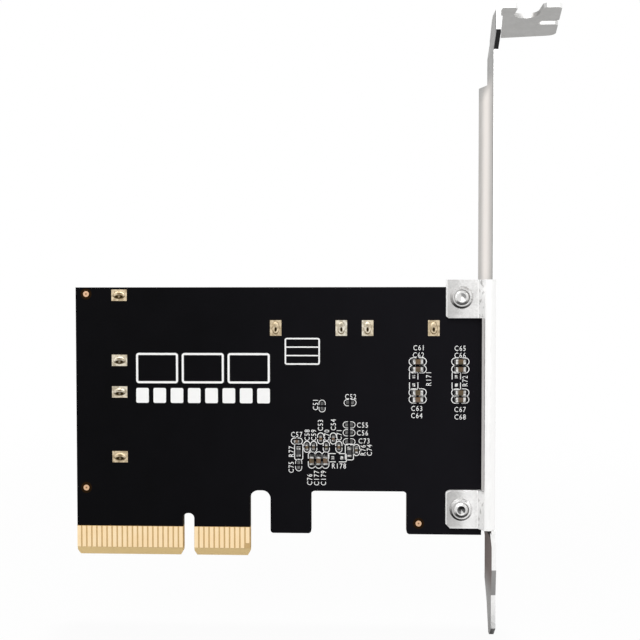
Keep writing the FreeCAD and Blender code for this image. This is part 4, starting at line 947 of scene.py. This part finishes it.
def mound(heap, side, flat, height):
    """A lump of solder: a grid of flat places raised by their heights, closed by a skirt and a base."""
    rows, columns = height.shape
    grid = np.arange(rows * columns).reshape(rows, columns)
    quads = np.stack([grid[:-1, :-1], grid[1:, :-1], grid[1:, 1:], grid[:-1, 1:]], -1).reshape(-1, 4)
    rim = np.concatenate([grid[0], grid[1:, -1], grid[-1, -2::-1], grid[-2:0:-1, 0]])
    top = np.concatenate([flat, height[..., None]], -1).reshape(-1, 3)
    foot = top[rim] * (1, 1, 0) + (0, 0, SUNK)
    ring = rows * columns + np.arange(len(rim))
    skirt = np.stack([rim, np.roll(rim, -1), np.roll(ring, -1), ring], 1)
    heap.add(on_board(np.concatenate([top, foot]), side), quads.tolist() + skirt.tolist() + [ring.tolist()])


def fillets(heap, side, bodies):
    """Solder at the ends of two-terminal parts: over u from the end outwards and v across it, from 0 to 1
    and from -1 to 1, the height is climb * (1 - u)^2 * (1 - v^6), above a film."""
    centres = np.array([(low + high) / 2 for low, high in boxes(bodies)])
    u, v = np.meshgrid(np.linspace(0, 1, SOLDER_GRID), np.linspace(-1, 1, SOLDER_GRID), indexing="ij")
    for low, high in boxes(f"{bodies}_ends"):
        middle = (low + high) / 2
        nearest = centres[np.linalg.norm(centres - middle, axis=1).argmin()]
        away = (middle - nearest)[[0, 2]]
        outward = np.sign(away) * (abs(away) == abs(away).max())
        half = (high - low)[[0, 2]] / 2
        along = outward * (half - FILLET_START + u[..., None] * FILLET)
        across = outward[::-1] * (half + FILLET_SPREAD) * v[..., None]
        climb = (high - low)[1] * FILLET_CLIMB
        mound(heap, side, middle[[0, 2]] + along + across, climb * (1 - u) ** 2 * (1 - v ** 6) + SOLDER_FILM)


def cushions(heap, node):
    """Solder round the feet of leads on the component side: over u and v from -1 to 1 across the foot
    and a margin, the height is rise * (1 - u^4) * (1 - v^4), above a film."""
    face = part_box("circuit_board")[1].y / MM
    u, v = np.meshgrid(np.linspace(-1, 1, SOLDER_GRID), np.linspace(-1, 1, SOLDER_GRID), indexing="ij")
    height = CUSHION_RISE * (1 - u ** 4) * (1 - v ** 4) + SOLDER_FILM
    for places in solids(node):
        foot = places[places[:, 1] < face + FOOT_HEIGHT][:, [0, 2]]
        low, high = foot.min(0) - CUSHION, foot.max(0) + CUSHION
        mound(heap, COMPONENT, (low + high) / 2 + np.stack([u, v], -1) * (high - low) / 2, height)


def solder_fillets(name, side, parts, leads=()):
    """Fillets of parts and cushions of leads on one side of the board, as a piece."""
    heap = Heap()
    for bodies in parts:
        fillets(heap, side, bodies)
    for node in leads:
        cushions(heap, node)
    heap.piece(name, "tinned_metal", True)


def board_lock_solder():
    """Solder in the board lock slots: over a disc of radius r up to 1, stretched to an oval along the pad,
    the height above the board is a dished ring, dip + rise * r^2 * (1 - r^2)."""
    heap = Heap()
    radii = np.linspace(POOL_INNER, 1, POOL_RINGS)
    heights = POOL_DIP + POOL_RISE * radii ** 2 * (1 - radii ** 2)
    levels = [*zip(radii, heights), (1, POOL_BASE)]
    for low, high in boxes("board_lock_pads_solder_side"):
        middle, span = (low + high)[[0, 2]] / 2, (high - low)[[0, 2]]
        oval = circle(POOL_SPOKES) * np.where(span > span.min(), POOL_LONG, POOL_WIDE)
        stack(heap, SOLDER, [(middle + oval * radius, height) for radius, height in levels])
    heap.piece("board_lock_solder", "plated_gold", True)


def track(heap, path, width=TRACK):
    """Copper under the component side's mask: a low flat-topped profile carried along a path."""
    half = width / 2
    top = half - TRACK_SLOPE
    carry(heap, COMPONENT, path, [(-half, SUNK), (-top, COPPER), (top, COPPER), (half, SUNK)])


def stub(heap, start, end, width=TRACK):
    """A straight track to a covered hole just past its end: a profile of radius and height turned once."""
    track(heap, [start, end], width)
    run = np.subtract(end, start)
    centre = end + run / np.linalg.norm(run) * VIA_PAST
    rim = circle(VIA_SIDES)
    stack(heap, COMPONENT, [(centre + rim * radius, height) for radius, height in VIA_PROFILE])


def port_tracks(heap):
    """Tracks of the four ports: signals of the side ports by their link capacitors to the controller, and
    stubs at all other feet."""
    for housing, link_low, bundle, turns_down in SIDE_PORTS:
        centre = middles(housing)[0][1]
        for number, contact in enumerate(SIGNALS):
            foot = centre + CONTACT_PITCH * contact
            link = link_low + LINK_PITCH * number
            level = bundle + BUNDLE_PITCH * number
            track(heap, [(SIDE_FEET, foot), (SIDE_TURNS[0], foot), (SIDE_TURNS[1], link), (LINK_LEFT, link)])
            path = [(LINK_RIGHT, link), (BUNDLE_START, link), (BUNDLE_START + link - level, level)]
            if turns_down:
                column = BUNDLE_COLUMN + BUNDLE_PITCH * number
                path += [(column - BUNDLE_BEND, level), (column, level - BUNDLE_BEND)]
                path += [(column, BUNDLE_SLANT[0]), (column + 1, BUNDLE_SLANT[1]), (column + 1, CHIP_TOP)]
            else:
                path += [(CHIP_LEFT, level)]
            track(heap, path)
        for contact in GROUNDS:
            foot = centre + CONTACT_PITCH * contact
            stub(heap, (SIDE_FEET, foot), (SIDE_STUB, foot))
    for housing in TOP_PORTS:
        for contact in ALL_CONTACTS:
            across = middles(housing)[0][0] + CONTACT_PITCH * contact
            stub(heap, (across, TOP_FEET), (across, TOP_STUB - TOP_STEP * (contact % 2)))


def controller_tracks(heap):
    """Tracks round the controller: lanes from the fingers, bias resistors above and left of it, clock, a fan
    of stubs to its right, memory and supply."""
    for number, across in enumerate(LANE_FINGERS):
        level, column = LANE_LEVEL + LANE_PITCH * number, LANE_COLUMN - LANE_STEP * number
        path = [(across, FINGER_TOP), (across, level - 1), (across + 1, level), (column - LANE_BEND, level)]
        track(heap, path + [(column, level + LANE_BEND), (column, CHIP_LOW)], LANE_TRACK)
    for across, level in middles("bias_resistors"):
        if level > CHIP_TOP:
            low, high = level - BIAS_REACH, level + BIAS_REACH
            bend, beside = low - BIAS_BEND, across + BIAS_BEND
            track(heap, [(across, low), (across, bend), (beside, bend - BIAS_BEND), (beside, CHIP_TOP)])
            stub(heap, (across, high), (across, high + BIAS_STUB))
        else:
            track(heap, [(across + BIAS_REACH, level), (CHIP_LEFT + BIAS_PAST, level)])
    for path in CLOCK_TRACKS:
        track(heap, path)
    for number in range(FAN_COUNT):
        level = FAN_LOW + number
        stub(heap, (CHIP_RIGHT, level), (FAN_END + FAN_STEP * (number % 2), level))
    for across in MEMORY_FEET:
        stub(heap, (across, MEMORY_TOP), (across, MEMORY_STUB))
    for across in SUPPLY_FINGERS:
        stub(heap, (across, FINGER_TOP), (across, SUPPLY_STUB), FINGER_TRACK)
    track(heap, COIL_PATH, COIL_TRACK)
    for level in SUPPLY_LEVELS:
        track(heap, [(SUPPLY_LEFT, level), (SUPPLY_RIGHT, level)], SUPPLY_TRACK)


def masked_tracks():
    """All tracks under the component side's mask, as a piece."""
    heap = Heap()
    port_tracks(heap)
    controller_tracks(heap)
    heap.piece("masked_tracks_component_side", "solder_mask")


def floor_finish():
    """Grey chalk that is white to the camera, fully so away from the card, with a faint shadow near it.
    Reflections show it white, but under the card the chalk is a painted dark patch, painted shade for
    reflections and bounced light."""
    finish = Finish("pale_floor", "ShaderNodeMixShader")
    camera_ray, glossy_ray, clear_ray = finish.rays()
    x, y, _ = finish.axes(finish.place())
    card_low, card_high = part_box("circuit_board")
    glow = FLOOR_GLOW + finish.past(finish.distance(x, y), 100, 300) * (1 - FLOOR_GLOW)
    ahead = finish.past(y * -1, 10, 22)
    behind = finish.past(y, 2, 8)
    beside = finish.past(x - card_high.x, 0, 10) + finish.past(card_low.x - x, 0, 10)
    clear = ahead + behind + beside
    # A painted dark patch of chalk under the card darkens reflections and bounced light there.
    grey = finish.mix(clear, (0.06, 0.06, 0.06), (0.62, 0.62, 0.62))
    chalk = finish.node("ShaderNodeBsdfDiffuse", None, {"Color": grey})
    light = finish.node("ShaderNodeEmission", None, {"Color": WHITE, "Strength": 1.0})
    seen = (camera_ray + clear_ray) * glow + glossy_ray * clear
    finish.set(finish.shader, {0: seen, 1: chalk, 2: light})
    return finish.block


def floor():
    """A level floor under the lowest point of the card."""
    level = cad_box[0][2] - FLOOR_DROP
    mesh = bpy.data.meshes.new("floor")
    corners = [(x * FLOOR_REACH, y * FLOOR_REACH, level) for x, y in ((-1, -1), (1, -1), (1, 1), (-1, 1))]
    mesh.from_pydata(corners, [], [(0, 1, 2, 3)])
    mesh.materials.append(floor_finish())
    made = put("floor", mesh)


def lamp(name, place, size, power):
    """A rectangular soft light that looks at the card's middle."""
    light = bpy.data.lights.new(name, "AREA")
    light.shape = "RECTANGLE"
    light.size, light.size_y = size
    light.energy = power
    made = put(name, light)
    made.location = place
    made.rotation_euler = (Vector(place) - Vector(CARD_MIDDLE)).to_track_quat("Z", "Y").to_euler()


def world():
    """White to the camera and in reflections, with an even fill on matt faces."""
    finish = Finish("studio", "ShaderNodeBackground", world=True)
    sockets = {"Value": sum(finish.rays()), "To Min": WORLD_FILL, "To Max": 1.0}
    finish.set(finish.shader, {"Color": WHITE, "Strength": finish.node("ShaderNodeMapRange", None, sockets)})
    bpy.context.scene.world = finish.block


def camera():
    """The photograph's viewpoint."""
    lens = bpy.data.cameras.new("camera")
    lens.lens = CAMERA_LENS
    lens.sensor_width = CAMERA_SENSOR
    lens.clip_start = CAMERA_NEAR * MM
    made = put("camera", lens)
    made.location = [amount * MM for amount in CAMERA_PLACE]
    made.rotation_euler = [math.radians(turn) for turn in CAMERA_TURN]
    bpy.context.scene.camera = made


legend_letters("legend_letters_solder_side", SOLDER, SOLDER_LEGEND)
solder_side_outlines()
write_on_fields()
legend_letters("legend_letters_component_side", COMPONENT, COMPONENT_LEGEND)
component_side_outlines()
solder_fillets("solder_fillets_solder_side", SOLDER, [row[0] for row in SOLDER_OUTLINES])
port_leads = [f"sata_port_{number}_contacts" for number in range(1, 5)]
chip_leads = ["flash_memory_leads", "switching_regulator_leads", "linear_regulator_leads"]
solder_fillets("solder_fillets_component_side", COMPONENT, [row[0] for row in COMPONENT_OUTLINES],
               port_leads + chip_leads)
board_lock_solder()
masked_tracks()

floor()
for row in LAMPS:
    lamp(*row)
world()
camera()
bpy.context.scene.view_settings.view_transform = "Standard"
